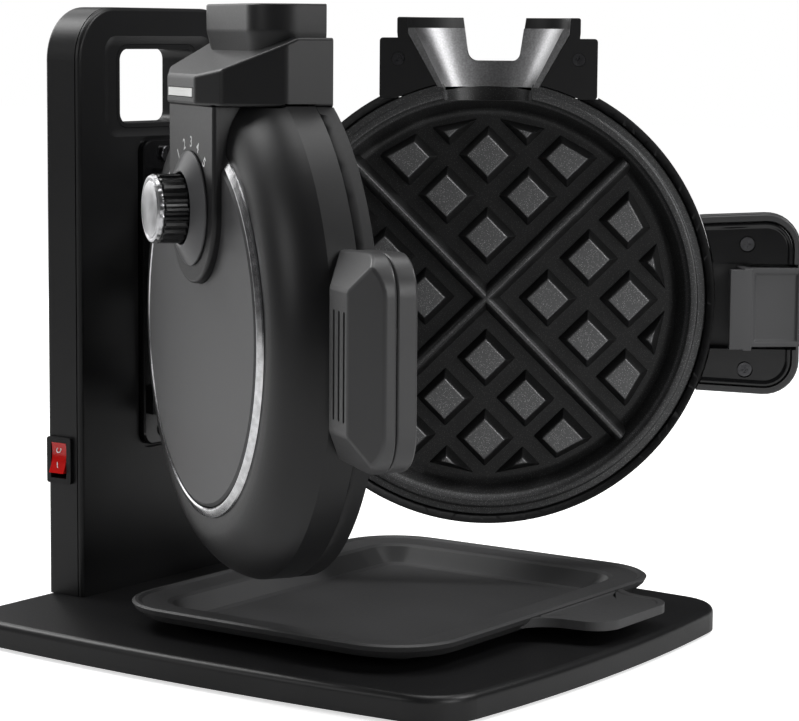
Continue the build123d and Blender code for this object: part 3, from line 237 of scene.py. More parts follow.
# Steel hardware and metal parts: plated screws, bolts, pin and heater parts,
# dark zinc screws where they show, and bare aluminium sheet.
def metal(name, colour, roughness, scale, metallic=1.0, depth=0.00002):
    """Metal or metallic coat with a fine cloudy roughness."""
    mat = bpy.data.materials.new(name)
    mat.use_nodes = True
    tree = mat.node_tree
    shader = tree.nodes["Principled BSDF"]
    shader.inputs["Metallic"].default_value = metallic
    coords = tree.nodes.new("ShaderNodeTexCoord")
    cloud = tree.nodes.new("ShaderNodeTexNoise")
    cloud.inputs["Scale"].default_value = scale
    cloud.inputs["Detail"].default_value = 5.0
    tree.links.new(coords.outputs["Object"], cloud.inputs["Vector"])
    tint = tree.nodes.new("ShaderNodeValToRGB")
    tint.color_ramp.elements[0].position = 0.35
    tint.color_ramp.elements[0].color = (colour[0] * 0.8, colour[1] * 0.8, colour[2] * 0.8, 1)
    tint.color_ramp.elements[1].position = 0.7
    tint.color_ramp.elements[1].color = (colour[0] * 1.15, colour[1] * 1.15, colour[2] * 1.15, 1)
    tree.links.new(cloud.outputs["Fac"], tint.inputs["Fac"])
    tree.links.new(tint.outputs["Color"], shader.inputs["Base Color"])
    rough = tree.nodes.new("ShaderNodeMapRange")
    rough.inputs["To Min"].default_value = roughness * 0.8
    rough.inputs["To Max"].default_value = roughness * 1.25
    tree.links.new(cloud.outputs["Fac"], rough.inputs["Value"])
    tree.links.new(rough.outputs["Result"], shader.inputs["Roughness"])
    bump = tree.nodes.new("ShaderNodeBump")
    bump.inputs["Strength"].default_value = 0.4
    bump.inputs["Distance"].default_value = depth
    tree.links.new(cloud.outputs["Fac"], bump.inputs["Height"])
    tree.links.new(bump.outputs["Normal"], shader.inputs["Normal"])
    return mat


plated_steel = metal("zinc_plated_steel", (0.55, 0.55, 0.56), 0.32, 260.0)
dark_zinc = metal("dark_zinc_steel", (0.10, 0.10, 0.105), 0.28, 260.0)
bare_aluminium = metal("bare_aluminium", (0.56, 0.56, 0.57), 0.3, 120.0)
finish_node(plated_steel, "tower_bolts", "hinge_backing_plate", "hinge_pin", "latch_pin")
finish_node(plated_steel, "front_arm_screws", "rear_arm_screws", "front_shield_screws", "rear_shield_screws")
finish_node(plated_steel, "front_heating_element", "rear_heating_element", "thermal_cutout")
finish_node(plated_steel, "thermostat", "thermostat_shaft")
finish_node(dark_zinc, "base_screws", "tower_case_screws", "hinge_plate_bolts")
finish_node(dark_zinc, "front_mating_screws", "rear_mating_screws")
finish_node(bare_aluminium, "front_heat_shield", "rear_heat_shield")


# The wiring in the tower: silicone leads from the inlet to a ceramic terminal
# block, the switch and the hinge.
cream_ceramic = moulded_plastic("cream_ceramic_plastic", (0.6, 0.56, 0.48), 0.5, 400.0, 0.00003)
silicone_lead = moulded_plastic("silicone_lead", (0.4, 0.03, 0.02), 0.5, 300.0, 0.00003)
finish_node(cream_ceramic, "terminal_block")
finish_node(silicone_lead, "stand_wiring")


# The power switch: a nylon body snapped into the side of the tower, with a
# clear red rocker that carries a printed ring and bar.
red_cap = moulded_plastic("red_rocker_cap", (0.62, 0.008, 0.006), 0.16, 200.0, 0.00001, 0.5)
white_ink = moulded_plastic("white_print", (0.88, 0.88, 0.88), 0.5, 600.0, 0.00001)
finish_node(matte_black, "switch_body")
finish_node(red_cap, "power_rocker")


def lettering(name, words, height, place):
    """Thin printed characters, centred, drawn upright and then put in place."""
    clear_selection()
    bpy.ops.object.text_add()
    obj = bpy.context.object
    obj.name = name
    obj.data.body = words
    obj.data.size = height * 1.38 * MM
    obj.data.extrude = 0.02 * MM
    obj.data.offset = 0.012 * height * MM
    obj.data.align_x = "CENTER"
    obj.data.align_y = "CENTER"
    bpy.ops.object.convert(target="MESH")
    obj = bpy.context.object
    obj.matrix_world = place
    bpy.ops.object.transform_apply(location=True, rotation=True, scale=True)
    return obj


ROCKER_PIVOT = Vector((-44.01, 132.25, 75.0)) * MM
ROCKER_TILT = math.radians(8.0)
FACE_LEFT = Matrix.Rotation(math.radians(-90), 4, "Z") @ Matrix.Rotation(math.radians(90), 4, "X")
for mark_name, words, up, back, lean in (
    ("rocker_ring_mark", "O", 3.6, -8.32, 12.0),
    ("rocker_bar_mark", "I", -3.4, -8.36, -12.0),
):
    place = (
        Matrix.Translation(ROCKER_PIVOT)
        @ Matrix.Rotation(ROCKER_TILT, 4, "Y")
        @ Matrix.Translation(Vector((back, 0, up)) * MM)
        @ Matrix.Rotation(math.radians(lean), 4, "Y")
        @ FACE_LEFT
    )
    mark = lettering(mark_name, words, 2.9, place)
    dress(mark, white_ink, "rocker")


# The hinge: a glossy plate bolted to the tower with three knuckles, a steel
# pin, and an arm of glass-filled nylon for each cooking half.
gloss_black = moulded_plastic("polished_black_abs", (0.006, 0.006, 0.0065), 0.14, 300.0, 0.00001, 0.5)
finish_node(gloss_black, "hinge_plate")
finish_node(matte_black, "front_hinge_arm", "rear_hinge_arm")

# The cooking halves are drawn on the bench: hinge at the origin, handle
# towards +X and the outside towards -Y. The rear half is the mirrored twin.
DC = 134.3
ZC = 149.3
RIM_R = 105.7
MATE = 0.2
HINGE = Vector((5.99, 96.85, 0.0)) * MM
HALF_TURN = {"front": math.radians(-123.8), "rear": math.radians(-59.3)}
HALF_SIDE = {"front": 1, "rear": -1}


def hang(obj, side):
    """Carry a bench piece to its half of the appliance."""
    take(obj)
    obj.matrix_world = (
        Matrix.Translation(HINGE)
        @ Matrix.Rotation(HALF_TURN[side], 4, "Z")
        @ Matrix.Diagonal((1, HALF_SIDE[side], 1, 1))
    )
    bpy.ops.object.transform_apply(location=True, rotation=True, scale=True)
    bpy.ops.object.mode_set(mode="EDIT")
    bpy.ops.mesh.select_all(action="SELECT")
    bpy.ops.mesh.normals_make_consistent(inside=False)
    close_edit()


def twin(obj, name):
    """A copy of a piece with its own mesh."""
    copy = bpy.data.objects.new(name, obj.data.copy())
    bpy.context.collection.objects.link(copy)
    return copy


def lathe(name, stations, centre, upright=False, steps=96):
    """A turned piece: a circle drawn out and resized from station to station.

    Stations are (radius, distance outwards) about the bench axis -Y, or
    (radius, height) about Z for an upright piece. Open ends are closed.
    """
    clear_selection()
    radius, reach = stations[0]
    x, z = centre
    if upright:
        start, tip = (x * MM, 0, reach * MM), (0, 0, 0)
    else:
        start, tip = (x * MM, -reach * MM, z * MM), (math.pi / 2, 0, 0)
    bpy.ops.mesh.primitive_circle_add(vertices=steps, radius=radius * MM, location=start, rotation=tip)
    obj = named(name)
    bpy.ops.object.mode_set(mode="EDIT")
    bpy.ops.mesh.select_all(action="SELECT")
    for (r0, n0), (r1, n1) in zip(stations, stations[1:]):
        step = (n1 - n0) * MM
        move = (0, 0, step) if upright else (0, -step, 0)
        bpy.ops.mesh.extrude_edges_move(TRANSFORM_OT_translate={"value": move})
        grow = r1 / r0
        if upright:
            spread, pivot = (grow, grow, 1), (x * MM, 0, n1 * MM)
        else:
            spread, pivot = (grow, 1, grow), (x * MM, -n1 * MM, z * MM)
        bpy.ops.transform.resize(value=spread, center_override=pivot)
    bpy.ops.mesh.select_all(action="SELECT")
    bpy.ops.mesh.remove_doubles(threshold=0.000001)
    bpy.ops.mesh.fill_holes(sides=0)
    bpy.ops.mesh.normals_make_consistent(inside=False)
    close_edit()
    return obj


def squash_depth(obj, factor):
    """Press an upright turned piece towards the mating plane."""
    open_edit(obj, "VERT", lambda p, w: True)
    bpy.ops.transform.resize(value=(1, factor, 1), center_override=(0, 0, 0))
    close_edit()


# The frame rings: black nylon rings behind the seam, with a fine groove that
# parts them from the flange of the plate.
for side in ("front", "rear"):
    source = nodes[side + "_frame_ring"]
    ring = bpy.data.objects.new(side + "_rim_ring", source.data.copy())
    bpy.context.collection.objects.link(ring)
    take(ring)
    bpy.ops.object.mode_set(mode="EDIT")
    bpy.ops.mesh.select_all(action="SELECT")
    bpy.ops.mesh.remove_doubles(threshold=0.000002)
    close_edit()
    groove = lathe("groove", [(97, -2), (102.1, -2), (102.1, 3.2), (97, 3.2), (97, -2)], (DC, ZC))
    hang(groove, side)
    carve(ring, groove)
    dress(ring, matte_black, side + "_half", [side + "_frame_ring"])

# The waffle plates: die-cast aluminium with a dark non-stick coat. A raised
# bead rings the cavity, a cross of ridges divides it, and squares fill it.
NON_STICK = (0.130, 0.131, 0.133)
# Depth into the grid over which the coat's painted light and shade runs.
PAINTED_SHADE_DEPTH = 12.0


def non_stick_with_painted_light(name, outward):
    """Dark coat with metal flakes that sparkle, with painted light and shade by depth: a painted highlight on
    the square tops, and painted shade down their walls that is darkest on the grid floor.

    The depth is measured from the mating plane along the way outward.
    """
    mat = metal(name, NON_STICK, 0.34, 900.0, 0.55, 0.00005)
    tree = mat.node_tree
    shader = tree.nodes["Principled BSDF"]
    coords = tree.nodes.new("ShaderNodeTexCoord")
    flakes = tree.nodes.new("ShaderNodeTexVoronoi")
    flakes.inputs["Scale"].default_value = 1500.0
    tree.links.new(coords.outputs["Object"], flakes.inputs["Vector"])
    spark = tree.nodes.new("ShaderNodeValToRGB")
    spark.color_ramp.elements[0].position = 0.0
    spark.color_ramp.elements[0].color = (0.75, 0.75, 0.755, 1)
    spark.color_ramp.elements[1].position = 0.30
    spark.color_ramp.elements[1].color = (*NON_STICK, 1)
    tree.links.new(flakes.outputs["Distance"], spark.inputs["Fac"])
    depth = tree.nodes.new("ShaderNodeVectorMath")
    depth.operation = "DOT_PRODUCT"
    depth.inputs[1].default_value = outward
    tree.links.new(coords.outputs["Object"], depth.inputs[0])
    span = tree.nodes.new("ShaderNodeMapRange")
    span.inputs["From Min"].default_value = HINGE.dot(outward)
    span.inputs["From Max"].default_value = HINGE.dot(outward) + PAINTED_SHADE_DEPTH * MM
    tree.links.new(depth.outputs["Value"], span.inputs["Value"])
    # Painted light and shade: a painted highlight on the square tops, painted shade on their walls, darkest
    # on the grid floor.
    painted_light_and_shade = tree.nodes.new("ShaderNodeValToRGB")
    painted_light_and_shade.color_ramp.elements[0].position = 0.12
    painted_light_and_shade.color_ramp.elements[0].color = (0.5, 0.5, 0.5, 1)
    painted_light_and_shade.color_ramp.elements[1].position = 0.85
    painted_light_and_shade.color_ramp.elements[1].color = (0.16, 0.16, 0.16, 1)
    painted_top_highlight = painted_light_and_shade.color_ramp.elements.new(0.26)
    painted_top_highlight.color = (1.0, 1.0, 1.0, 1)
    painted_wall_shade = painted_light_and_shade.color_ramp.elements.new(0.36)
    painted_wall_shade.color = (0.3, 0.3, 0.3, 1)
    tree.links.new(span.outputs["Result"], painted_light_and_shade.inputs["Fac"])
    tone = tree.nodes.new("ShaderNodeVectorMath")
    tone.operation = "MULTIPLY"
    tree.links.new(spark.outputs["Color"], tone.inputs[0])
    tree.links.new(painted_light_and_shade.outputs["Color"], tone.inputs[1])
    tree.links.new(tone.outputs["Vector"], shader.inputs["Base Color"])
    return mat


non_stick = {
    "front": non_stick_with_painted_light("front_non_stick_coat", Vector((-0.83098, 0.55630, 0.0))),
    "rear": non_stick_with_painted_light("rear_non_stick_coat", Vector((0.85985, 0.51054, 0.0))),
}
FLOOR_N = 11.0
PLATE_STATIONS = [
    (98.0, 13.8), (98.0, 3.0), (100.9, 3.0), (101.2, 2.7), (101.2, 1.6), (100.8, 1.15),
    (98.3, 1.15), (97.8, 0.9), (97.4, 0.35), (96.9, 0.15), (95.3, 0.15), (94.6, 0.4),
    (93.7, 1.8), (88.6, 9.2), (87.4, 10.4), (85.8, 10.9), (84.5, FLOOR_N),
]
plate = lathe("plate_casting", PLATE_STATIONS, (DC, ZC), steps=128)
CHANNEL = [(20.2, ZC + 91.5), (20.6, ZC + 97.0), (22.4, ZC + 103)]
channel = lathe("channel", CHANNEL, (DC, 0), upright=True, steps=64)
squash_depth(channel, 0.5)
carve(plate, channel)

SQUARE_FOOT = 20.0
SQUARE_TOP = 13.4
SQUARE_RISE = 7.9
SINK = 0.6
COLUMNS = {1: 20.2, 2: 46.8, 3: 72.0}
CLIP_R = 79.4
CLIP_SLOPE = 3.0


def square_at(name, i, j, clipped):
    """One raised square at a grid place of the first quarter, cut to the round if it is clipped."""
    clear_selection()
    side_x, side_z = COLUMNS[i], COLUMNS[j]
    tall = SQUARE_RISE + SINK
    middle = -FLOOR_N - SINK + tall / 2
    bpy.ops.mesh.primitive_cone_add(
        vertices=4, radius1=SQUARE_FOOT / 2 ** 0.5 * MM, radius2=SQUARE_TOP / 2 ** 0.5 * MM,
        depth=tall * MM, rotation=(-math.pi / 2, math.pi / 4, 0),
        location=((DC + side_x) * MM, middle * MM, (ZC + side_z) * MM),
    )
    obj = named(name)
    if clipped:
        out = Vector((side_x, 0, side_z)).normalized()
        edge = Vector((DC, -(FLOOR_N - SQUARE_RISE), ZC)) + out * CLIP_R
        slice_off(obj, edge, (out.x * SQUARE_RISE, CLIP_SLOPE, out.z * SQUARE_RISE))
    soften(obj, 0.55, 2, 20)
    return obj


def turn_about_axis(obj, degrees):
    """Turn a piece about the middle of the plate."""
    take(obj)
    middle = Vector((DC, 0, ZC)) * MM
    turn = Matrix.Rotation(math.radians(degrees), 4, "Y")
    obj.matrix_world = Matrix.Translation(middle) @ turn @ Matrix.Translation(-middle)
    bpy.ops.object.transform_apply(location=True, rotation=True, scale=True)


grid = []
first = [
    square_at("square_11", 1, 1, False),
    square_at("square_12", 1, 2, False),
    square_at("square_21", 2, 1, False),
    square_at("square_22", 2, 2, False),
    square_at("square_13", 1, 3, True),
    square_at("square_31", 3, 1, True),
    square_at("square_23", 2, 3, True),
    square_at("square_32", 3, 2, True),
]
for quarter in range(4):
    for shape in first:
        piece = twin(shape, "square_copy")
        turn_about_axis(piece, 45 + 90 * quarter)
        grid.append(piece)
for shape in first:
    bpy.data.objects.remove(shape, do_unlink=True)

RIDGE_FOOT = 9.0
RIDGE_TOP = 1.9
RIDGE_RISE = 9.6
RIDGE_HALF = 90.5
ridges = []
for angle in (45, 135):
    ridge = block(
        "ridge",
        (DC - RIDGE_HALF, -FLOOR_N - SINK, ZC - RIDGE_FOOT / 2),
        (DC + RIDGE_HALF, -FLOOR_N + RIDGE_RISE, ZC + RIDGE_FOOT / 2),
    )
    open_edit(ridge, "FACE", lambda p, w: w.y > 0.9)
    pivot = (DC * MM, (-FLOOR_N + RIDGE_RISE) * MM, ZC * MM)
    bpy.ops.transform.resize(value=(1, 1, RIDGE_TOP / RIDGE_FOOT), center_override=pivot)
    close_edit()
    soften(ridge, 0.6, 3, 20)
    turn_about_axis(ridge, angle)
    ridges.append(ridge)
carve(ridges[0], ridges[1], "UNION")
bowl = lathe("bowl", [(92.6, 13), (92.6, 2.6), (91.0, -3), (60, -3)], (DC, ZC), steps=128)
carve(ridges[0], bowl, "INTERSECT")
take(plate)
for piece in grid + [ridges[0]]:
    piece.select_set(True)
bpy.context.view_layer.objects.active = plate
bpy.ops.object.join()
front_plate = twin(plate, "front_plate_casting")
plate.name = "rear_plate_casting"
for side, casting in (("front", front_plate), ("rear", plate)):
    hang(casting, side)
    dress(casting, non_stick[side], side + "_half", [side + "_waffle_plate"])

# The pouring funnels: a half cone of satin cast aluminium in each collar,
# pressed to an oval. The rear one has a wide notch in the middle.
satin_cast = metal("satin_cast_aluminium", (0.24, 0.24, 0.244), 0.36, 1100.0, 0.9, 0.00006)
FUNNEL = [
    (20.6, ZC + 97.6), (34.2, ZC + 124.5), (37.0, ZC + 124.5),
    (37.0, ZC + 121.9), (23.2, ZC + 97.6), (20.6, ZC + 97.6),
]
GAP_MID = DC + 1.75


def wall_gap(top, spread):
    """Cutter for the notch in the rear funnel and hopper, wider at its top."""
    gap = block("gap", (DC - 10.0, -60, ZC + 109.5), (DC + 13.5, 1, ZC + top))
    open_edit(gap, "FACE", lambda p, w: w.z > 0.9)
    bpy.ops.transform.resize(value=(spread, 1, 1), center_override=(GAP_MID * MM, 0, 0))
    close_edit()
    round_edges(gap, lambda p, w: abs(w.y) > 0.9 and p.z < ZC + 115, 3.4, 5)
    return gap


for side in ("front", "rear"):
    spout = lathe(side + "_funnel_cone", FUNNEL, (DC, 0), upright=True, steps=72)
    squash_depth(spout, 0.7)
    slice_off(spout, (DC, -MATE, ZC), (0, 1, 0))
    if side == "rear":
        carve(spout, wall_gap(140, 1.35))
    soften(spout, 0.5, 2, 35)
    hang(spout, side)
    dress(spout, satin_cast, side + "_half", [side + "_funnel"])

# The covers, face discs and trim rings: a domed ABS cover, a lacquered disc
# let into it and a chromed ring round the disc.
satin_chrome = metal("satin_chrome", (0.72, 0.72, 0.73), 0.2, 300.0)
grey_lacquer = metal("grey_lacquer", (0.080, 0.080, 0.082), 0.40, 700.0, 0.5)
finish_node(satin_black, "front_cover", "rear_cover", "dial_panel")
finish_node(grey_lacquer, "front_face_disc", "rear_face_disc")
TRIM = [
    (74.95, 37.6), (74.95, 40.3), (75.5, 40.7), (76.1, 40.7),
    (78.8, 39.5), (79.1, 38.9), (78.9, 37.6), (74.95, 37.6),
]
for side in ("front", "rear"):
    trim = lathe(side + "_chrome_trim", TRIM, (DC, ZC), steps=128)
    hang(trim, side)
    dress(trim, satin_chrome, side + "_half", [side + "_trim_ring"])

# The collars: ABS housings round the funnels, with sloping shoulders, a nose
# over the face and a hopper that widens to a straight band.
BAND_LOW = 122.5
for side, nose, top in (("front", 48.6, 133.5), ("rear", 42.0, 129.4)):
    shoulder = block(side + "_collar_shell", (DC - 50, -nose, ZC + 92.4), (DC + 50, 6, ZC + 120))
    slice_off(shoulder, (DC, -22, ZC + 116.8), (0, -0.42, 0.908))
    for hand in (-1, 1):
        slice_off(shoulder, (DC + hand * 50, -20, ZC), (hand * (nose - 26), -14, 0))
        slice_off(shoulder, (DC + hand * 36, -nose + 6, ZC), (hand * 6, -17, 0))
    soften(shoulder, 1.5, 4, 12)
    hopper = block("hopper", (DC - 40, -24.5, ZC + 104), (DC + 40, 24.5, ZC + BAND_LOW))
    open_edit(hopper, "FACE", lambda p, w: w.z > 0.9)
    bpy.ops.transform.resize(value=(42 / 40, 28.9 / 24.5, 1), center_override=(DC * MM, 0, 0))
    bpy.ops.mesh.extrude_region_move(TRANSFORM_OT_translate={"value": (0, 0, (top - BAND_LOW) * MM)})
    close_edit()
    round_edges(hopper, lambda p, w: abs(w.z) > 0.8, 17, 12)
    soften(hopper, 0.9, 3, 9)
    carve(shoulder, hopper, "UNION")
    slice_off(shoulder, (DC, -MATE, ZC), (0, 1, 0))
    mouth = lathe(
        "mouth",
        [(23.6, ZC + 80), (23.6, ZC + 98.0), (37.3, ZC + 121.8), (37.3, ZC + 125), (38.2, ZC + 141)],
        (DC, 0), upright=True, steps=72,
    )
    squash_depth(mouth, 0.71)
    carve(shoulder, mouth)
    dome = [(101.6, -3), (101.6, 7.4), (106.3, 7.4), (106.3, 20.2), (98.4, 32.0), (79.0, 38.7)]
    carve(shoulder, lathe("dome_room", dome, (DC, ZC)))
    carve(shoulder, lathe("disc_room", [(79.5, 30), (79.5, 41.2)], (DC, ZC)))
    if side == "rear":
        carve(shoulder, wall_gap(145, 1.45))
    else:
        carve(shoulder, block("panel_room", (DC - 31.4, -44.5, ZC + 80), (DC + 31.4, -30, ZC + 93.0)))
        carve(shoulder, block("lens_room", (DC - 16.9, -60, ZC + 95.6), (DC + 16.9, -46, ZC + 99.6)))
    for hand in (-1, 1):
        carve(shoulder, lathe("head_room", [(3.1, -2), (3.1, 2.4)], (DC + hand * 41.4, ZC + 110.4), steps=32))
    hang(shoulder, side)
    dress(shoulder, satin_black, side + "_half", [side + "_collar"])

# The indicator: an opal plastic strip in the nose with two small lamps behind
# it. It is drawn unlit, and the lamps have the strip's milky finish.
opal_lens = moulded_plastic("opal_lens", (0.8, 0.8, 0.78), 0.3, 200.0, 0.00001, 0.5)
finish_node(opal_lens, "indicator_window", "indicator_lamps")

# The dial: a grey conical bezel on the panel, printed numbers round it, and
# a fluted knob with a brushed metal cap.
DIAL_Z = ZC + 49.8
DIAL_PLANE = 44.4
mid_grey = moulded_plastic("mid_grey_abs", (0.075, 0.075, 0.078), 0.34, 800.0, 0.00004)
bezel = lathe(
    "dial_bezel_cone",
    [
        (14.9, 44.5), (23.4, 44.5), (23.7, 44.9), (23.6, 45.4), (22.9, 45.9),
        (16.4, 49.1), (15.6, 49.3), (15.0, 49.0), (14.9, 48.2), (14.9, 44.5),
    ],
    (DC, DIAL_Z),
)
hang(bezel, "front")
dress(bezel, mid_grey, "front_half", ["dial_bezel"])

FACE_OUT = Matrix.Rotation(math.radians(90), 4, "X")
BENCH_TO_FRONT = Matrix.Translation(HINGE) @ Matrix.Rotation(HALF_TURN["front"], 4, "Z")
NUMBER_R = 27.2
for number, angle in zip("12345", (128, 108, 88, 68, 46)):
    turn = math.radians(angle)
    across = DC + NUMBER_R * math.cos(turn)
    height = DIAL_Z + NUMBER_R * math.sin(turn)
    spot = Vector((across, -DIAL_PLANE - 0.02, height)) * MM
    lean = Matrix.Rotation(math.radians(angle - 90), 4, "Z")
    place = BENCH_TO_FRONT @ Matrix.Translation(spot) @ FACE_OUT @ lean
    digit = lettering("dial_number_" + number, number, 4.6, place)
    dress(digit, white_ink, "front_half")

FLUTE_STEP = 3.75


def flute(obj, factor, low, high):
    """Draw every second pair of edge points in towards the knob's axis."""
    def in_flute(p, w):
        across = math.hypot(p.x - DC, p.z - DIAL_Z)
        step = round(math.degrees(math.atan2(p.z - DIAL_Z, p.x - DC)) / FLUTE_STEP) % 4
        return across > 12.6 and low < -p.y < high and step in (2, 3)

    open_edit(obj, "VERT", in_flute)
    pivot = (DC * MM, 0, DIAL_Z * MM)
    bpy.ops.transform.resize(value=(factor, 1, factor), center_override=pivot)
    close_edit()


knob_black = moulded_plastic("knob_black_abs", (0.0055, 0.0055, 0.006), 0.24, 500.0, 0.00002, 0.45)
KNOB = [(13.6, 45.4), (14.4, 45.8), (14.2, 58.6), (13.7, 59.3), (12.0, 59.4)]
knob = lathe("fluted_knob", KNOB, (DC, DIAL_Z))
flute(knob, 0.945, 45, 60)
hang(knob, "front")
dress(knob, knob_black, "knob", ["thermostat_knob"], 20)
cap = lathe(
    "brushed_cap",
    [
        (13.2, 59.3), (14.2, 59.6), (14.3, 60.2), (13.6, 61.4), (12.9, 61.7), (12.3, 61.6),
        (12.1, 61.2), (11.7, 61.2), (11.5, 61.6), (10.9, 61.9), (6.0, 62.1),
    ],
    (DC, DIAL_Z),
)
flute(cap, 0.965, 59, 61)
hang(cap, "front")
dress(cap, bare_aluminium, "knob", ["knob_cap"], 25)

# The grips: each handle is an outer ABS grip with three finger lines and an
# inner cover, rounded at the tip and cut to the round rim. The front grip is
# hollowed behind its window for the hook of the latch.
GRIP_N = 24.0
GRIP_LINE = 9.0
LINE_HALF = 0.95


def handle_blank(name, n0, n1, inset):
    """Handle outline between two distances, narrowed a little towards the rim."""
    obj = block(name, (DC + 84, -n1, ZC - 43.5 + inset), (DC + 145 - inset, -n0, ZC + 42 - inset))
    open_edit(obj, "VERT", lambda p, w: p.x < DC + 90)
    bpy.ops.transform.resize(value=(1, 1, 0.93), center_override=(0, 0, (ZC - 0.7) * MM))
    close_edit()
    round_edges(obj, lambda p, w: abs(w.y) > 0.9 and p.x > DC + 100, 17 - inset, 9)
    return obj


soft_grip = moulded_plastic("soft_grip_abs", (0.042, 0.042, 0.043), 0.38, 900.0, 0.00005, 0.45)
for side in ("front", "rear"):
    grip = handle_blank(side + "_hand_grip", GRIP_LINE, GRIP_N, 0)
    slice_off(grip, (DC, -GRIP_N, ZC + 27), (0, -15.0, 10.0))
    slice_off(grip, (DC, -GRIP_N, ZC - 28), (0, -15.5, -10.0))
    slice_off(grip, (DC + 132, -GRIP_N, ZC), (10.0, -13.0, 0))
    slice_off(grip, (DC + 112, -GRIP_N, ZC), (-5.0, -7.0, 0))
    soften(grip, 1.7, 4, 14)
    for line in (117.5, 123, 128.5):
        groove = block(
            "finger_line",
            (DC + line - LINE_HALF, -GRIP_N - 3, ZC - 23),
            (DC + line + LINE_HALF, -GRIP_N + 1.3, ZC + 19),
        )
        round_edges(groove, lambda p, w: abs(w.y) > 0.9, 0.9, 4)
        carve(grip, groove)
    carve(grip, lathe("rim_room", [(RIM_R + 0.25, -3), (RIM_R + 0.25, 40)], (DC, ZC), steps=128))
    if side == "front":
        hook_room = block("hook_room", (DC + 103, -14.5, ZC - 21.5), (DC + 122, 0, ZC + 18))
        carve(grip, hook_room)
    hang(grip, side)
    dress(grip, soft_grip, side + "_half", [side + "_grip"])

LATCH_LOW = ZC - 20.0
LATCH_HIGH = ZC + 16.5
WINDOW_END = {"front": 143.8, "rear": 143.2}
GRIP_SCREWS = [(DC + 120, ZC + 27), (DC + 120, ZC - 31)]


def latch_window(side):
    """Cutter for the window in the inner cover that the latch moves in."""
    low = (DC + 104, -20, LATCH_LOW - 1.5)
    high = (DC + WINDOW_END[side], 5, LATCH_HIGH + 1.5)
    return block("window", low, high)


for side in ("front", "rear"):
    inner = handle_blank(side + "_grip_frame", 0.7, GRIP_LINE - 0.15, 0.3)
    soften(inner, 1.0, 3, 28)
    carve(inner, latch_window(side))
    carve(inner, handle_blank("pocket", -5, 6.4, 3.4))
    carve(inner, lathe("rim_room", [(RIM_R + 0.25, -3), (RIM_R + 0.25, 40)], (DC, ZC), steps=128))
    panel = handle_blank(side + "_grip_plate", 0.9, 6.3, 4.2)
    open_edit(panel, "FACE", lambda p, w: w.y > 0.9)
    bpy.ops.mesh.inset(thickness=1.6 * MM, depth=0.0)
    bpy.ops.mesh.inset(thickness=0.7 * MM, depth=-0.6 * MM)
    close_edit()
    soften(panel, 0.5, 3, 20)
    carve(panel, latch_window(side))
    carve(panel, lathe("rim_room", [(RIM_R + 0.6, -3), (RIM_R + 0.6, 40)], (DC, ZC), steps=128))
    for spot in GRIP_SCREWS:
        carve(panel, lathe("head_room", [(3.8, -2), (3.8, 3.8)], spot, steps=32))
    hang(inner, side)
    hang(panel, side)
    dress(inner, soft_grip, side + "_half", [side + "_grip_inner"])
    dress(panel, gloss_black, side + "_half", [side + "_grip_inner"])

# The latch clip: a grey nylon rocker plate on a pin, with a hook strip that
# reaches over the other half. It is drawn let go.
clip_grey = moulded_plastic("clip_grey_nylon", (0.060, 0.060, 0.062), 0.36, 700.0, 0.00004)
clip = block("latch_rocker_plate", (DC + 117.4, -4.6, LATCH_LOW), (DC + 142.8, 2.6, LATCH_HIGH))
open_edit(clip, "FACE", lambda p, w: w.y > 0.9)
bpy.ops.mesh.inset(thickness=2.4 * MM, depth=0.0)
bpy.ops.transform.translate(value=(1.0 * MM, 0, 0))
bpy.ops.mesh.inset(thickness=0.9 * MM, depth=-1.0 * MM)
close_edit()
soften(clip, 0.5, 3, 25)
wall = block("wall", (DC + 113.6, -4.6, LATCH_LOW - 0.6), (DC + 118.0, 12.0, LATCH_HIGH + 0.4))
soften(wall, 0.6, 3, 25)
carve(clip, wall, "UNION")
lip = block("lip", (DC + 107.5, 8.6, LATCH_LOW), (DC + 115.0, 12.0, LATCH_HIGH))
slice_off(lip, (DC + 107.5, 9.4, ZC), (-2.6, -4.0, 0))
soften(lip, 0.4, 2, 20)
carve(clip, lip, "UNION")
boss = block("boss", (DC + 122.5, -13.5, LATCH_LOW), (DC + 131.0, -4.0, LATCH_HIGH))
round_edges(boss, lambda p, w: abs(w.z) > 0.9 and p.y < -10, 3.4, 6)
carve(clip, boss, "UNION")
LATCH_PIVOT = Vector((DC + 127.0, -11.0, 0)) * MM
LATCH_OPEN = math.radians(-10)
take(clip)
clip.matrix_world = (
    Matrix.Translation(LATCH_PIVOT)
    @ Matrix.Rotation(LATCH_OPEN, 4, "Z")
    @ Matrix.Translation(-LATCH_PIVOT)
)
bpy.ops.object.transform_apply(location=True, rotation=True, scale=True)
hang(clip, "rear")
dress(clip, clip_grey, "latch", ["latch_clip"])

# The drip tray: one matte plastic moulding with a raised lip, a soft well
# and a tab to pull it out by.
TRAY_MID = Vector((13.99, -11.45))
TRAY_HALF = Vector((106.0, 84.0))
TRAY_BOW = 1.0
TRAY_TOP = 24.0
TRAY_CORNER = 31
TRAY_SIDE = 42
TRAY_STEPS = (
    (1.3, 0.8), (1.4, 0.0), (1.6, -0.9), (11.2, -0.5),
    (2.2, -0.9), (3.6, -4.6), (2.0, -2.3), (2.2, -0.9),
)
tray_grey = moulded_plastic("tray_black_abs", (0.048, 0.048, 0.049), 0.46, 650.0, 0.00008)
clear_selection()
bpy.ops.mesh.primitive_circle_add(
    vertices=8, radius=MM, fill_type="NGON",
    location=(TRAY_MID.x * MM, TRAY_MID.y * MM, (TRAY_TOP - 0.9) * MM),
)
tray = named("drip_tray_moulding")
centre = (TRAY_MID.x * MM, TRAY_MID.y * MM, 0)
open_edit(tray, "VERT", lambda p, w: True)
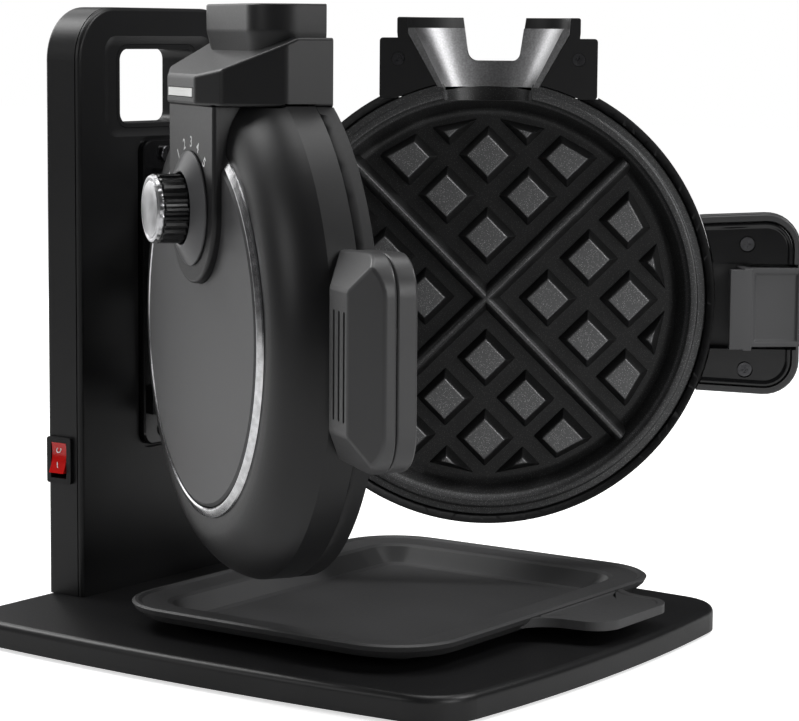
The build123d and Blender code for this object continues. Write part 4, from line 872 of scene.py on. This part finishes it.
bpy.ops.transform.resize(value=(TRAY_HALF.x, TRAY_HALF.y, 1), center_override=centre)
close_edit()
open_edit(tray, "VERT", lambda p, w: abs(p.x - TRAY_MID.x) > 9 and abs(p.y - TRAY_MID.y) > 9)
corner = math.cos(math.radians(45))
widen_x = (TRAY_HALF.x - TRAY_BOW) / (TRAY_HALF.x * corner)
widen_y = (TRAY_HALF.y - TRAY_BOW) / (TRAY_HALF.y * corner)
bpy.ops.transform.resize(value=(widen_x, widen_y, 1), center_override=centre)
bpy.ops.mesh.bevel(offset=TRAY_CORNER * MM, segments=14, affect="VERTICES")
close_edit()
open_edit(tray, "VERT", lambda p, w: abs(p.x - TRAY_MID.x) < 2 or abs(p.y - TRAY_MID.y) < 2)
bpy.ops.mesh.bevel(offset=TRAY_SIDE * MM, segments=10, affect="VERTICES")
close_edit()
open_edit(tray, "FACE", lambda p, w: True)
for thickness, depth in TRAY_STEPS:
    bpy.ops.mesh.inset(thickness=thickness * MM, depth=depth * MM)
close_edit()
open_edit(tray, "EDGE", lambda p, w: False)
bpy.ops.mesh.select_non_manifold()
bpy.ops.mesh.extrude_edges_move(TRANSFORM_OT_translate={"value": (0, 0, -2.2 * MM)})
bpy.ops.transform.resize(value=(0.991, 0.989, 1), center_override=centre)
bpy.ops.mesh.extrude_edges_move(TRANSFORM_OT_translate={"value": (0, 0, -3.6 * MM)})
bpy.ops.transform.resize(value=(0.962, 0.955, 1), center_override=centre)
bpy.ops.mesh.select_all(action="SELECT")
bpy.ops.mesh.normals_make_consistent(inside=False)
close_edit()
modify(tray, "SOLIDIFY", thickness=1.9 * MM, offset=-1.0, use_even_offset=True)
soften(tray, 0.8, 3, 12)
TAB_X = TRAY_MID.x + 21
TAB_BACK = TRAY_MID.y - 80.6
TAB_NECK = TRAY_MID.y - 86.5
TAB_BACK_HALF = 44
TAB_NECK_HALF = 33
TAB_TIP_HALF = 29
TAB_REACH = 28.5
tab = block(
    "tab",
    (TAB_X - TAB_BACK_HALF, TAB_NECK, TRAY_TOP - 5.4),
    (TAB_X + TAB_BACK_HALF, TAB_BACK, TRAY_TOP - 1.4),
)
open_edit(tab, "FACE", lambda p, w: w.y < -0.9)
tab_axis = (TAB_X * MM, 0, 0)
bpy.ops.transform.resize(value=(TAB_NECK_HALF / TAB_BACK_HALF, 1, 1), center_override=tab_axis)
bpy.ops.mesh.extrude_region_move(TRANSFORM_OT_translate={"value": (0, -TAB_REACH * MM, 0)})
bpy.ops.transform.resize(value=(TAB_TIP_HALF / TAB_NECK_HALF, 1, 1), center_override=tab_axis)
close_edit()
round_edges(tab, lambda p, w: abs(w.z) > 0.9 and p.y < TAB_NECK - 20, 11, 8)
round_edges(tab, lambda p, w: abs(w.z) > 0.9 and abs(p.y - TAB_NECK) < 1, 8, 8)
open_edit(tab, "FACE", lambda p, w: w.z > 0.9)
bpy.ops.mesh.inset(thickness=3.0 * MM, depth=0.0)
bpy.ops.mesh.inset(thickness=0.8 * MM, depth=-0.5 * MM)
close_edit()
soften(tab, 0.8, 3, 20)
take(tab)
tray.select_set(True)
bpy.context.view_layer.objects.active = tray
bpy.ops.object.join()
dress(tray, tray_grey, "drip_tray", ["drip_tray"])

# The studio: a plain pale floor that is white to the camera but keeps the
# shadow, a white surround, soft lamps and the camera at the photograph's angle.
FLOOR_NEAR = 0.35
FLOOR_FAR = 1.5
clear_selection()
bpy.ops.mesh.primitive_plane_add(size=12.0, location=(0, 0, -0.0005))
floor = bpy.context.object
floor.name = "studio_floor"
floor_mat = bpy.data.materials.new("pale_floor")
floor_mat.use_nodes = True
tree = floor_mat.node_tree
pale = tree.nodes["Principled BSDF"]
pale.inputs["Base Color"].default_value = (0.82, 0.82, 0.82, 1)
pale.inputs["Roughness"].default_value = 0.75
coords = tree.nodes.new("ShaderNodeTexCoord")
away = tree.nodes.new("ShaderNodeVectorMath")
away.operation = "LENGTH"
tree.links.new(coords.outputs["Object"], away.inputs[0])
lift = tree.nodes.new("ShaderNodeMapRange")
lift.inputs["From Min"].default_value = FLOOR_NEAR
lift.inputs["From Max"].default_value = FLOOR_FAR
lift.inputs["To Min"].default_value = 0.66
lift.inputs["To Max"].default_value = 1.0
tree.links.new(away.outputs["Value"], lift.inputs["Value"])
glow = tree.nodes.new("ShaderNodeEmission")
tree.links.new(lift.outputs["Result"], glow.inputs["Strength"])
both = tree.nodes.new("ShaderNodeAddShader")
tree.links.new(pale.outputs["BSDF"], both.inputs[0])
tree.links.new(glow.outputs["Emission"], both.inputs[1])
path = tree.nodes.new("ShaderNodeLightPath")
mix = tree.nodes.new("ShaderNodeMixShader")
tree.links.new(path.outputs["Is Camera Ray"], mix.inputs["Fac"])
tree.links.new(pale.outputs["BSDF"], mix.inputs[1])
tree.links.new(both.outputs["Shader"], mix.inputs[2])
tree.links.new(mix.outputs["Shader"], tree.nodes["Material Output"].inputs["Surface"])
floor.data.materials.append(floor_mat)

world = bpy.data.worlds.new("studio_world")
bpy.context.scene.world = world
world.use_nodes = True
sky = world.node_tree
surround = sky.nodes["Background"]
surround.inputs["Color"].default_value = (0.035, 0.035, 0.036, 1)
surround.inputs["Strength"].default_value = 1.0
white = sky.nodes.new("ShaderNodeBackground")
white.inputs["Color"].default_value = (1, 1, 1, 1)
white.inputs["Strength"].default_value = 1.0
path = sky.nodes.new("ShaderNodeLightPath")
mix = sky.nodes.new("ShaderNodeMixShader")
sky.links.new(path.outputs["Is Camera Ray"], mix.inputs["Fac"])
sky.links.new(surround.outputs["Background"], mix.inputs[1])
sky.links.new(white.outputs["Background"], mix.inputs[2])
sky.links.new(mix.outputs["Shader"], sky.nodes["World Output"].inputs["Surface"])


def softbox(name, spot, target, size, watts):
    """A square soft lamp that looks at the object."""
    lamp = bpy.data.lights.new(name, "AREA")
    lamp.shape = "SQUARE"
    lamp.size = size
    lamp.energy = watts
    obj = bpy.data.objects.new(name, lamp)
    bpy.context.collection.objects.link(obj)
    obj.location = spot
    aim = Vector(target) - Vector(spot)
    obj.rotation_euler = aim.to_track_quat("-Z", "Y").to_euler()
    return obj


softbox("left_back_box", (0.35, 1.45, 0.75), (-0.05, 0, 0.16), 1.3, 9.5)
softbox("high_back_box", (-0.12, 1.15, 1.25), (0, 0, 0.2), 0.6, 9.0)
softbox("left_box", (-1.35, 0.75, 0.7), (0, 0, 0.15), 0.6, 3.0)
softbox("top_box", (0.15, 0.1, 1.5), (0, 0, 0.1), 1.0, 11.0)
softbox("right_front_box", (-0.45, -1.3, 0.5), (0.06, 0, 0.16), 0.6, 6.0)
softbox("right_top_box", (0.45, -0.85, 1.1), (0.06, 0, 0.16), 0.45, 8.0)

camera_data = bpy.data.cameras.new("photo_camera")
camera_data.sensor_width = 36.0
camera_data.lens = 120.777
camera = bpy.data.objects.new("photo_camera", camera_data)
bpy.context.collection.objects.link(camera)
camera.location = (-0.962821, -0.691384, 0.272024)
camera.rotation_euler = (1.448674, -0.007835, -0.962454)
bpy.context.scene.camera = camera
bpy.context.scene.view_settings.view_transform = "Standard"
